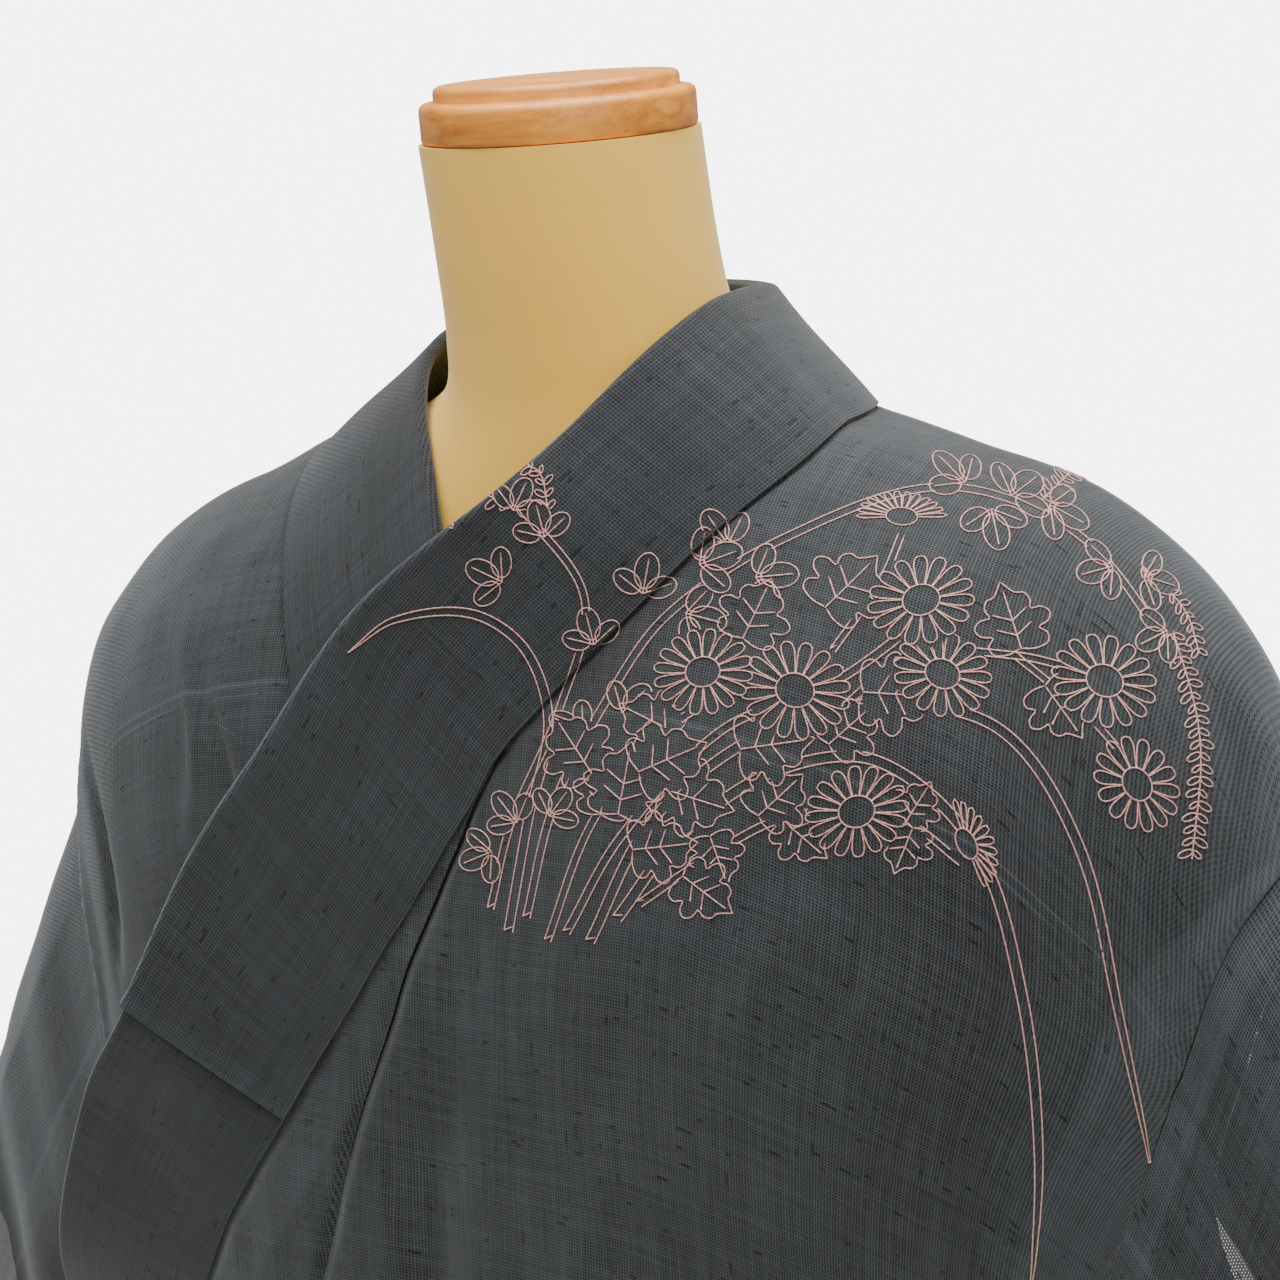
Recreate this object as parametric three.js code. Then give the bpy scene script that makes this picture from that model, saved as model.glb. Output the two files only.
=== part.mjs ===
// A woman's summer kimono, worn crossed left over right on a limbless dress form with a turned neck cap.
// Millimetres, +Z up, the front faces -Y and the wearer's left is +X. The origin is on the floor, under
// the middle of the stand's foot.
import * as THREE from 'three';

const SHOULDER = 1530;     // height of the shoulder beside the neck, above the floor
const CLOTH = 2;           // wall of a single panel
const BAND = 3;            // wall of the collar band, which is folded double
const COVER = 1.2;         // wall of the cover collar that lies on the band
const SEAM = 0.3;          // gap at every seam
const BAND_GAP = 0.4;      // what the thicker band keeps from the seam line on its side
const OVERLAP = 8;         // how far the left front stands off the body where it lies over the right one
const SQUARENESS = 2.3;    // 2 gives elliptical body rings, more gives squarer ones
const DROOP = { phi: -105, spread: 45 };   // where the right shoulder hangs lowest, in degrees
const SLIT = 5.55;         // ring at which the shoulder fold ends and the armhole starts
const ARMHOLE_END = 7.6;   // ring at which the sleeve's seam ends
const SIDE_SEAM = 9;       // ring at which the side seam starts, under the open side slit
const BAND_END = 10;       // ring at which the collar band ends on the front edge
const COVER_END = 6.15;    // shoulder ring whose row carries the end of the cover collar
const HEM = 13;            // last ring

// The hanging cloth, ring by ring. Each ring sags from the shoulder to the middle of the front and back:
// half is its half width, front and back its depths, side, fore and aft the heights of those places, and
// droop how much lower the wearer's right shoulder hangs.
const RINGS = [
  { w: 0, half: 70, front: 59, back: 67, side: 2, fore: -36, aft: 11, droop: 1 },
  { w: 1, half: 108, front: 76, back: 83, side: -4, fore: -83, aft: -20, droop: 5 },
  { w: 2, half: 146, front: 88, back: 93, side: -13, fore: -126, aft: -59, droop: 14 },
  { w: 3, half: 191, front: 99, back: 97, side: -27, fore: -169, aft: -101, droop: 20 },
  { w: 4, half: 230, front: 108, back: 101, side: -56, fore: -212, aft: -144, droop: 22 },
  { w: 5, half: 257, front: 114, back: 104, side: -99, fore: -261, aft: -193, droop: 17 },
  { w: 6, half: 270, front: 120, back: 108, side: -167, fore: -315, aft: -252, droop: 9 },
  { w: 7, half: 272, front: 126, back: 113, side: -261, fore: -380, aft: -329, droop: 3 },
  { w: 8, half: 266, front: 131, back: 118, side: -365, fore: -455, aft: -420, droop: 0 },
  { w: 9, half: 254, front: 134, back: 122, side: -485, fore: -550, aft: -525, droop: 0 },
  { w: 10, half: 240, front: 135, back: 125, side: -640, fore: -680, aft: -665, droop: 0 },
  { w: 11, half: 230, front: 135, back: 128, side: -880, fore: -895, aft: -890, droop: 0 },
  { w: 12, half: 224, front: 136, back: 130, side: -1190, fore: -1195, aft: -1192, droop: 0 },
  { w: 13, half: 222, front: 138, back: 132, side: -1500, fore: -1500, aft: -1500, droop: 0 },
];

// Long soft folds: phi is where one runs at the ring named by from, lean its drift in degrees a ring,
// spread its half width in degrees, depth how far it stands out (or in), reached at the ring named by full.
const FOLDS = [
  { phi: -3, lean: -2.6, spread: 6, depth: -5, from: 3, full: 6 },
  { phi: 12, lean: 0.5, spread: 9, depth: 8, from: 6, full: 12 },
  { phi: 38, lean: -0.4, spread: 8, depth: -9, from: 6.5, full: 12 },
  { phi: 58, lean: 0.4, spread: 8, depth: 11, from: 7, full: 12 },
  { phi: 76, lean: 0, spread: 7, depth: -9, from: 8.5, full: 12 },
  { phi: -46, lean: 1.2, spread: 8, depth: 9, from: 7.5, full: 12 },
  { phi: -68, lean: 0.5, spread: 7, depth: -8, from: 8, full: 12.5 },
  { phi: -90, lean: 0.6, spread: 8, depth: 9, from: 8.5, full: 12 },
  { phi: 112, lean: 0.4, spread: 9, depth: 11, from: 6, full: 11 },
  { phi: 138, lean: 0.4, spread: 9, depth: -10, from: 5, full: 11 },
  { phi: 163, lean: 0.2, spread: 9, depth: 8, from: 6, full: 12 },
  { phi: -160, lean: -0.3, spread: 9, depth: -8, from: 5, full: 11 },
  { phi: -134, lean: -0.6, spread: 9, depth: 11, from: 6, full: 11 },
  { phi: -112, lean: -0.2, spread: 8, depth: -9, from: 7, full: 12 },
];

// Rows of the two fronts, each from the seam at its inner edge out to the shoulder fold or the side:
// out is the ring reached at the side, and phi and w say where the row meets the inner seam. That seam
// is the collar's down to the point of the gore, and the gore's below it. Angles run toward the side.
const GORE_POINT = 3.6;
const LEFT_FRONT = [
  { out: 0.86, phi: 90, w: 0.86 }, { out: 1.3, phi: 73, w: 0.99 }, { out: 1.8, phi: 52.5, w: 1.03 },
  { out: 2.4, phi: 36, w: 1.14 }, { out: 3, phi: 19.5, w: 1.32 }, { out: 3.6, phi: 3, w: 1.7 },
  { out: 4.2, phi: -7, w: 2.53 }, { out: 4.8, phi: -14, w: 3.45 }, { out: 5.3, phi: -19, w: 4.35 },
  { out: 5.55, phi: -23, w: 5 }, { out: 6.3, phi: -28.5, w: 6.05 }, { out: 7, phi: -33, w: 6.95 },
  { out: 8, phi: -34, w: 8 }, { out: 10, phi: -31, w: 10 }, { out: 13, phi: -26, w: 13 },
];
const RIGHT_FRONT = [
  { out: 0.86, phi: 90, w: 0.86 }, { out: 1.3, phi: 82, w: 1.03 }, { out: 1.8, phi: 74, w: 1.3 },
  { out: 2.4, phi: 65, w: 1.62 }, { out: 3, phi: 54, w: 2.17 }, { out: 3.6, phi: 42.5, w: 3.07 },
  { out: 4.2, phi: 41, w: 3.8 }, { out: 4.8, phi: 39.5, w: 4.5 }, { out: 5.3, phi: 38, w: 5.1 },
  { out: 5.55, phi: 37, w: 5.4 }, { out: 6.3, phi: 34, w: 6.2 }, { out: 7, phi: 30, w: 7 },
  { out: 8, phi: 25, w: 8 }, { out: 10, phi: 20, w: 10 }, { out: 13, phi: 12, w: 13 },
];
// The gores' inner edges, on the same rows: the collar's seam as far as the band goes, then the front edge.
const LEFT_GORE = [
  { out: 3.6, phi: 3, w: 1.7 }, { out: 4.2, phi: -9, w: 2.5 }, { out: 4.8, phi: -18, w: 3.45 },
  { out: 5.3, phi: -24.5, w: 4.3 }, { out: 5.55, phi: -30, w: 5 }, { out: 6.3, phi: -38.5, w: 6.05 },
  { out: 7, phi: -47.5, w: 6.95 }, { out: 8, phi: -56, w: 8 }, { out: 9, phi: -62, w: 9 },
  { out: 10, phi: -66, w: 10 }, { out: 11.5, phi: -66, w: 11.5 }, { out: 13, phi: -64, w: 13 },
];
const RIGHT_GORE = [
  { out: 3.6, phi: 42.5, w: 3.07 }, { out: 4.2, phi: 38, w: 3.8 }, { out: 4.8, phi: 33, w: 4.5 },
  { out: 5.3, phi: 28, w: 5.1 }, { out: 5.55, phi: 25, w: 5.4 }, { out: 6.3, phi: 16, w: 6.2 },
  { out: 7, phi: 7, w: 7 }, { out: 8, phi: -5, w: 8 }, { out: 9, phi: -21, w: 9 },
  { out: 10, phi: -36, w: 10 }, { out: 11.5, phi: -40, w: 11.5 }, { out: 13, phi: -44, w: 13 },
];
// The side edge of each front: the armhole, the open slit under it, and the side seam down to the hem.
const ARMHOLE = [
  { out: 5.55, phi: 90 }, { out: 5.8, phi: 81 }, { out: 6.3, phi: 76 },
  { out: 6.9, phi: 71 }, { out: 7.6, phi: 67 }, { out: 8.2, phi: 73 }, { out: 9, phi: 85 },
  { out: 10, phi: 86 }, { out: 13, phi: 86 },
];
// The free edge of the collar band, x toward the band's own side: along is the distance from the middle
// of the back neck, followed on the seam. clear is 1 where the band is kept out of the body under it, and
// cling is 1 where it also lies down on the body.
const LEFT_EDGE = [
  { along: 0, x: 0, y: 70, z: 36, clear: 0, cling: 0 }, { along: 45, x: 32, y: 60, z: 37, clear: 0, cling: 0 },
  { along: 94, x: 54, y: 38, z: 39, clear: 0, cling: 0 }, { along: 134, x: 58, y: 14, z: 42, clear: 0, cling: 0 },
  { along: 160, x: 60, y: -18, z: 41, clear: 0, cling: 0 }, { along: 188, x: 52, y: -46, z: 29, clear: 0, cling: 0 },
  { along: 229, x: 29, y: -69, z: 3, clear: 0, cling: 0 }, { along: 262, x: 8, y: -85, z: -16, clear: 0, cling: 0 },
  { along: 306, x: -26, y: -94, z: -40, clear: 0.5, cling: 0 }, { along: 343, x: -50, y: -102, z: -62, clear: 1, cling: 0 },
  { along: 404, x: -80, y: -118, z: -105, clear: 1, cling: 0 }, { along: 458, x: -112, y: -130, z: -149, clear: 1, cling: 0 },
  { along: 514, x: -148, y: -142, z: -214, clear: 1, cling: 0 }, { along: 564, x: -176, y: -140, z: -252, clear: 1, cling: 0 },
  { along: 620, x: -212, y: -132, z: -322, clear: 1, cling: 0 }, { along: 678, x: -234, y: -112, z: -376, clear: 1, cling: 0 },
  { along: 787, x: -246, y: -74, z: -490, clear: 1, cling: 0 }, { along: 934, x: -238, y: -48, z: -642, clear: 1, cling: 0 },
];
const RIGHT_EDGE = [
  { along: 0, x: 0, y: 70, z: 36, clear: 0, cling: 0 }, { along: 45, x: 32, y: 60, z: 37, clear: 0, cling: 0 },
  { along: 94, x: 56, y: 38, z: 35, clear: 0, cling: 0 }, { along: 134, x: 63, y: 18, z: 31, clear: 0, cling: 0 },
  { along: 160, x: 67, y: -2, z: 27, clear: 0, cling: 0 }, { along: 190, x: 65, y: -20, z: 19, clear: 0, cling: 0 },
  { along: 222, x: 56, y: -37, z: 5, clear: 0, cling: 0 }, { along: 250, x: 45, y: -50, z: -12, clear: 0, cling: 0 },
  { along: 285, x: 31, y: -65, z: -42, clear: 0, cling: 0.2 }, { along: 320, x: 14, y: -76, z: -74, clear: 0.6, cling: 0.8 },
  { along: 352, x: -2, y: -86, z: -104, clear: 1, cling: 1 }, { along: 409, x: -22, y: -100, z: -165, clear: 1, cling: 1 },
  { along: 524, x: -46, y: -117, z: -290, clear: 1, cling: 1 }, { along: 585, x: -64, y: -120, z: -352, clear: 1, cling: 1 },
  { along: 667, x: -90, y: -120, z: -436, clear: 1, cling: 1 }, { along: 762, x: -125, y: -112, z: -526, clear: 1, cling: 1 },
  { along: 894, x: -158, y: -98, z: -660, clear: 1, cling: 1 },
];
// Where the overlap's lift is whole and where it has faded to nothing, ring by ring.
const LIFTED = [
  { w: 0, whole: -4, none: 40 }, { w: 3, whole: 20, none: 60 }, { w: 5, whole: 30, none: 66 },
  { w: 7, whole: 40, none: 66 }, { w: 8, whole: 48, none: 70 }, { w: 10, whole: 66, none: 84 },
  { w: 13, whole: 66, none: 84 },
];

// The sleeve's cuff edge and free inner edge hang plumb from the shoulder fold and from the armhole.
const SLEEVE = { drop: 490, attached: 230, cuff: 230, swell: 18, pucker: 15, waves: 2.5 };
const CUFF = { topX: 428, topZ: -412, bottomX: 420, open: 18, shut: 3.6 };
const INNER_EDGE = { x: 284, y: 54 };

// The dress form under the cloth. cy is how far a section's middle lies forward of the origin.
const NECK = [
  { side: 100.5, fore: 100.5, aft: 100.5, half: 48.5, front: 48.5, back: 48.5, cy: -12.6 },
  { side: 62, fore: 60, aft: 64, half: 49, front: 49, back: 49, cy: -8 },
  { side: 32, fore: 27, aft: 38, half: 51, front: 50, back: 51, cy: -3.5 },
  { side: 12, fore: -4, aft: 22, half: 58, front: 53, back: 58, cy: 0 },
];
const YOKE_RINGS = [0.5, 1, 1.5, 2, 2.5, 2.9];
const YOKE_GAP = { shoulder: 2.8, chest: 9 };
const TORSO = [
  { side: -68, fore: -184, aft: -134, half: 187, front: 90, back: 86, cy: 0 },
  { side: -112, fore: -204, aft: -166, half: 178, front: 93, back: 86, cy: 0 },
  { side: -168, fore: -230, aft: -204, half: 164, front: 97, back: 84, cy: 0 },
  { side: -235, fore: -262, aft: -250, half: 150, front: 99, back: 81, cy: 0 },
  { side: -320, fore: -330, aft: -325, half: 134, front: 90, back: 78, cy: 0 },
  { side: -400, fore: -400, aft: -400, half: 122, front: 82, back: 78, cy: 0 },
  { side: -490, fore: -490, aft: -490, half: 138, front: 88, back: 90, cy: 0 },
  { side: -590, fore: -590, aft: -590, half: 158, front: 94, back: 98, cy: 0 },
  { side: -670, fore: -670, aft: -670, half: 158, front: 94, back: 96, cy: 0 },
  { side: -706, fore: -706, aft: -706, half: 146, front: 84, back: 86, cy: 0 },
  { side: -712, fore: -712, aft: -712, half: 132, front: 72, back: 74, cy: 0 },
];
const CAP = { radius: 49.5, collar: 14, top: 44, height: 19.5, round: 3 };
const POLE = { radius: 14 };
const FOOT = { radius: 150, rim: 10, hub: 30, height: 34 };

// Mesh density.
const LEVELS = [
  0.86, 1.08, 1.3, 1.55, 1.8, 2.1, 2.4, 2.7, 3, 3.3, 3.6, 3.9, 4.2, 4.5, 4.8, 5.05, 5.3, 5.55,
  5.8, 6.15, 6.6, 7, 7.3, 7.6, 8, 8.5, 9, 9.5, 10, 10.75, 11.5, 12.25, 13,
];
const FRONT_COLUMNS = 13;
const BACK_COLUMNS = 11;
const BUNCH = 1.5;         // how much closer the columns stand toward the side
const GORE_COLUMNS = 5;
const BAND_COLUMNS = 4;
const AROUND = 32;

const clothColour = new THREE.MeshStandardMaterial({ color: 0x4a4f53, roughness: 0.85, metalness: 0 });
const gauzeColour = new THREE.MeshStandardMaterial({ color: 0x555a5c, roughness: 0.85, metalness: 0 });
const collarColour = new THREE.MeshStandardMaterial({ color: 0x42474b, roughness: 0.85, metalness: 0 });
const jerseyColour = new THREE.MeshStandardMaterial({ color: 0xe9c48a, roughness: 0.9, metalness: 0 });
const woodColour = new THREE.MeshStandardMaterial({ color: 0xc98d4a, roughness: 0.35, metalness: 0 });
const steelColour = new THREE.MeshStandardMaterial({ color: 0xb9bcc0, roughness: 0.35, metalness: 1 });

const mix = (a, b, t) => a + (b - a) * t;
const clamp01 = (t) => Math.min(1, Math.max(0, t));
const ease = (t) => clamp01(t) ** 2 * (3 - 2 * clamp01(t));
const radians = (degrees) => (degrees * Math.PI) / 180;
const bunched = (t, bunch) => 1 - (1 - t) ** bunch;

// Reads a table at a place between its rows, on a smooth curve through them.
function follow(rows, key, at) {
  const x = Math.min(rows.at(-1)[key], Math.max(rows[0][key], at));
  let i = 0;
  while (i < rows.length - 2 && rows[i + 1][key] <= x) i += 1;
  const [a, b] = [rows[i], rows[i + 1]];
  const [before, after] = [rows[Math.max(0, i - 1)], rows[Math.min(rows.length - 1, i + 2)]];
  const span = b[key] - a[key];
  const t = (x - a[key]) / span;
  const place = {};
  for (const column of Object.keys(a)) {
    const leave = ((b[column] - before[column]) / (b[key] - before[key])) * span;
    const arrive = ((after[column] - a[column]) / (after[key] - a[key])) * span;
    place[column] = (2 * t ** 3 - 3 * t ** 2 + 1) * a[column] + (t ** 3 - 2 * t ** 2 + t) * leave
      + (3 * t ** 2 - 2 * t ** 3) * b[column] + (t ** 3 - t ** 2) * arrive;
  }
  return place;
}

// The point of a ring at the angle phi: 0 is the middle of the front, 90 the wearer's left, 180 the back.
function ringPoint(ring, phi) {
  const [s, c] = [Math.sin(radians(phi)), Math.cos(radians(phi))];
  const [depth, low] = c >= 0 ? [ring.front, ring.fore] : [ring.back, ring.aft];
  const sum = Math.abs(s / ring.half) ** SQUARENESS + Math.abs(c / depth) ** SQUARENESS;
  const r = sum ** (-1 / SQUARENESS);
  const z = mix(ring.side, low, c * c);
  return new THREE.Vector3(r * s, (ring.cy ?? 0) - r * c, SHOULDER + z);
}

// Angles wrap round to lie within half a turn of zero.
const wrapped = (phi) => ((((phi + 180) % 360) + 360) % 360) - 180;

function skin(phi, w) {
  const ring = follow(RINGS, 'w', w);
  const point = ringPoint(ring, phi);
  point.z -= ring.droop * Math.exp(-((wrapped(phi - DROOP.phi) / DROOP.spread) ** 2));
  return point;
}

function outward(phi, w) {
  const level = Math.min(w, HEM - 0.02);
  const around = skin(phi + 0.5, level).sub(skin(phi - 0.5, level));
  const down = skin(phi, level + 0.01).sub(skin(phi, level - 0.01));
  return down.cross(around).normalize();
}

function foldDepth(phi, w) {
  let depth = 0;
  for (const fold of FOLDS) {
    const offset = wrapped(phi - fold.phi - fold.lean * (w - fold.from));
    const growth = ease((w - fold.from) / (fold.full - fold.from));
    depth += fold.depth * growth * Math.exp(-((offset / fold.spread) ** 2));
  }
  return depth;
}

// A point of the cloth, lift above the bare surface.
function cloth(phi, w, lift) {
  return skin(phi, w).addScaledVector(outward(phi, w), lift + foldDepth(phi, w));
}

function overlapLift(phi, w) {
  const { whole, none } = follow(LIFTED, 'w', w);
  return OVERLAP * ease((none - phi) / (none - whole));
}

// Collects points with an outer and an inner place, and the faces between them, and closes the wall
// along its free edges.
class Wall {
  constructor() {
    this.outer = [];
    this.inner = [];
    this.faces = [];
    this.known = new Map();
  }

  point(outer, inner) {
    const key = [outer.x, outer.y, outer.z].map((value) => value.toFixed(3)).join();
    if (!this.known.has(key)) {
      this.known.set(key, this.outer.length);
      this.outer.push(outer);
      this.inner.push(inner);
    }
    return this.known.get(key);
  }

  quad(a, b, c, d) {
    for (const face of [[a, b, c], [a, c, d]]) {
      if (new Set(face).size === 3) this.faces.push(face);
    }
  }

  // Rows of point numbers; a closed grid joins the last column to the first.
  grid(rows, closed = false) {
    for (let i = 0; i + 1 < rows.length; i += 1) {
      const last = closed ? rows[i].length : rows[i].length - 1;
      for (let j = 0; j < last; j += 1) {
        const k = (j + 1) % rows[i].length;
        this.quad(rows[i][j], rows[i + 1][j], rows[i + 1][k], rows[i][k]);
      }
    }
  }

  mesh(name, material) {
    const count = this.outer.length;
    const open = new Map();
    for (const face of this.faces) {
      face.forEach((from, k) => {
        const to = face[(k + 1) % 3];
        if (!open.delete(`${to},${from}`)) open.set(`${from},${to}`, [from, to]);
      });
    }
    const triangles = [...this.faces];
    for (const [a, b, c] of this.faces) triangles.push([a + count, c + count, b + count]);
    for (const [from, to] of open.values()) {
      triangles.push([from, from + count, to + count], [from, to + count, to]);
    }
    return solid(name, [...this.outer, ...this.inner], triangles, material);
  }
}

function solid(name, points, triangles, material) {
  let volume = 0;
  for (const [a, b, c] of triangles) {
    volume += points[a].dot(points[b].clone().cross(points[c]));
  }
  const index = triangles.flatMap(([a, b, c]) => (volume < 0 ? [a, c, b] : [a, b, c]));
  const geometry = new THREE.BufferGeometry();
  geometry.setAttribute('position', new THREE.Float32BufferAttribute(points.flatMap((p) => p.toArray()), 3));
  geometry.setIndex(index);
  geometry.computeVertexNormals();
  const mesh = new THREE.Mesh(geometry, material);
  mesh.name = name;
  return mesh;
}

// Mirrors a place on the wearer's left to the wearer's right.
const sided = (side, phi) => (side === 'left' ? phi : -phi);
const FRONTS = { left: LEFT_FRONT, right: RIGHT_FRONT };
const GORES = { left: LEFT_GORE, right: RIGHT_GORE };
const EDGES = { left: LEFT_EDGE, right: RIGHT_EDGE };

// The lift of a front's outer face at a place given toward its own side.
const frontLift = (side, phi, w) => (side === 'left' ? overlapLift(phi, w) : 0);

function place(side, phi, w, lift) {
  return cloth(sided(side, phi), w, frontLift(side, phi, w) + lift);
}

const sideEdge = (out) => (out <= SLIT ? 90 : follow(ARMHOLE, 'out', out).phi);

// One row of a panel between two places, held back at each end by half a seam where it is sewn.
function rowPlaces(side, from, to, columns, bunch, trimFrom, trimTo) {
  const length = place(side, from.phi, from.w, 0).distanceTo(place(side, to.phi, to.w, 0));
  const trim = length > 1 ? SEAM / 2 / length : 0;
  const start = trimFrom ? trim : 0;
  const end = trimTo ? 1 - trim : 1;
  return Array.from({ length: columns + 1 }, (_, j) => {
    const t = mix(start, end, bunched(j / columns, bunch));
    return { phi: mix(from.phi, to.phi, t), w: mix(from.w, to.w, t) };
  });
}

// Front and back of one side in one length of cloth, folded over the shoulder without a seam.
function bodyPanel(side) {
  const wall = new Wall();
  const add = ({ phi, w }) => wall.point(place(side, phi, w, 0), place(side, phi, w, -CLOTH));
  const [frontRows, backRows] = [[], []];
  LEVELS.forEach((out, i) => {
    const level = i === 0 ? out + SEAM / 2 / 40 : out;
    const inner = i === 0 ? { phi: 90, w: level } : follow(FRONTS[side], 'out', out);
    const edge = { phi: sideEdge(out), w: level };
    const seamed = out > SLIT;
    frontRows.push(rowPlaces(side, inner, edge, FRONT_COLUMNS, BUNCH, true, seamed).map(add));
    const backEdge = { phi: 180 - edge.phi, w: level };
    if (out >= SIDE_SEAM) backEdge.phi = edge.phi;
    const middle = { phi: 180, w: level };
    backRows.push(rowPlaces(side, middle, backEdge, BACK_COLUMNS, BUNCH, true, seamed).map(add));
  });
  wall.grid(frontRows);
  wall.grid(backRows.map((row) => [...row].reverse()));
  return wall.mesh(`body_${side}`, clothColour);
}

// The gore between the front panel and the collar, pointed at the top.
function gore(side) {
  const wall = new Wall();
  const rows = [];
  for (const out of LEVELS.filter((level) => level >= GORE_POINT)) {
    const seam = follow(FRONTS[side], 'out', out);
    const edge = follow(GORES[side], 'out', out);
    const collared = out <= BAND_END;
    const row = rowPlaces(side, seam, edge, GORE_COLUMNS, 1, true, collared);
    rows.push(row.map(({ phi, w }) => wall.point(place(side, phi, w, 0), place(side, phi, w, -CLOTH))));
  }
  wall.grid(rows);
  return wall.mesh(`okumi_${side}`, clothColour);
}

// Places on the collar's seam from the middle of the back neck to the band's end on one front.
function collarSeam(side) {
  const places = [];
  for (let j = 0; j < BACK_COLUMNS; j += 1) {
    places.push({ phi: mix(180, 90, bunched(j / BACK_COLUMNS, BUNCH)), w: LEVELS[0] });
  }
  for (const out of LEVELS) {
    if (out < GORE_POINT) places.push({ ...follow(FRONTS[side], 'out', out), out });
    else if (out <= BAND_END) places.push({ ...follow(GORES[side], 'out', out), out });
  }
  return places;
}

// Moves a point level with itself toward the body's surface: out by the share clear where it would sink
// in, and in by the share cling where it stands off.
function restOnBody(point, lift, clear, cling) {
  const phi = (Math.atan2(point.x, -point.y) * 180) / Math.PI;
  let [high, low] = [0, HEM];
  for (let step = 0; step < 30; step += 1) {
    const w = (high + low) / 2;
    if (cloth(phi, w, lift).z > point.z) high = w;
    else low = w;
  }
  const body = cloth(phi, (high + low) / 2, lift);
  const short = Math.hypot(body.x, body.y) - Math.hypot(point.x, point.y);
  const push = 1 + (short * (short > 0 ? clear : cling)) / Math.hypot(point.x, point.y);
  return new THREE.Vector3(point.x * push, point.y * push, point.z);
}

// Rows across the collar band on one front, from the seam to the free edge.
function bandRows(side) {
  const rows = [];
  let along = 0;
  let last = null;
  for (const { phi, w, out } of collarSeam(side)) {
    const seam = place(side, phi, w, 0.5);
    if (last) along += seam.distanceTo(last);
    last = seam;
    const edge = follow(EDGES[side], 'along', along);
    const free = new THREE.Vector3(sided(side, 1) * edge.x, edge.y, SHOULDER + edge.z);
    const start = BAND_GAP / seam.distanceTo(free);
    const lift = frontLift(side, side === 'left' ? -180 : 0, w) + 0.5;
    const points = Array.from({ length: BAND_COLUMNS + 1 }, (_, j) => {
      const t = mix(start, 1, j / BAND_COLUMNS);
      const straight = seam.clone().lerp(free, t);
      return j === 0 ? straight : restOnBody(straight, lift, edge.clear, edge.cling);
    });
    rows.push({ out, points });
  }
  return rows;
}

// The outward direction at every point of a grid of rows.
function gridNormals(rows) {
  return rows.map((row, i) => row.map((_, j) => {
    const across = row[Math.min(j + 1, row.length - 1)].clone().sub(row[Math.max(j - 1, 0)]);
    const along = rows[Math.min(i + 1, rows.length - 1)][j].clone().sub(rows[Math.max(i - 1, 0)][j]);
    return along.cross(across).normalize();
  }));
}

// A band laid on a grid of points: its faces lie outer and inner above them.
function bandWall(name, rows, normals, outer, inner) {
  const wall = new Wall();
  wall.grid(rows.map((row, i) => row.map((point, j) => wall.point(
    point.clone().addScaledVector(normals[i][j], outer),
    point.clone().addScaledVector(normals[i][j], inner),
  ))));
  return wall.mesh(name, collarColour);
}

function collar() {
  const left = bandRows('left').reverse();
  const right = bandRows('right').slice(1);
  const band = [...left, ...right];
  const rows = band.map(({ points }) => points);
  const normals = gridNormals(rows);
  const cover = band.map(({ out }, i) => i).filter((i) => (band[i].out ?? 0) <= COVER_END);
  const pick = (list) => cover.map((i) => list[i]);
  return [
    bandWall('eri', rows, normals, 0, -BAND),
    bandWall('tomoeri', pick(rows), pick(normals), SEAM + COVER, SEAM),
  ];
}

// A place on the armhole, or on the free edge that hangs below it. face is 1 in front and -1 behind.
function armholePlace(side, drop, face) {
  const reach = Math.min(drop, SLEEVE.attached) / SLEEVE.attached;
  const out = mix(SLIT, ARMHOLE_END, reach);
  const phi = sideEdge(out);
  const seam = place(side, face > 0 ? phi : 180 - phi, out, 0);
  const hanging = clamp01((drop - SLEEVE.attached) / (SLEEVE.drop - SLEEVE.attached));
  const swing = 1 - (1 - hanging) ** 3;
  const hangX = sided(side, 1) * INNER_EDGE.x;
  return new THREE.Vector3(
    mix(seam.x, hangX, swing),
    mix(seam.y, -face * INNER_EDGE.y, swing),
    seam.z - hanging * (SLEEVE.drop - SLEEVE.attached),
  );
}

function cuffPlace(side, drop, face) {
  const fall = drop / SLEEVE.drop;
  const gape = mix(CUFF.open, CUFF.shut, ease((drop - SLEEVE.cuff + 60) / 60));
  const rounding = Math.min(1, Math.sqrt(fall * 12));
  return new THREE.Vector3(
    sided(side, 1) * mix(CUFF.topX, CUFF.bottomX, fall),
    -face * gape * rounding,
    SHOULDER + CUFF.topZ - drop,
  );
}

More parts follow.
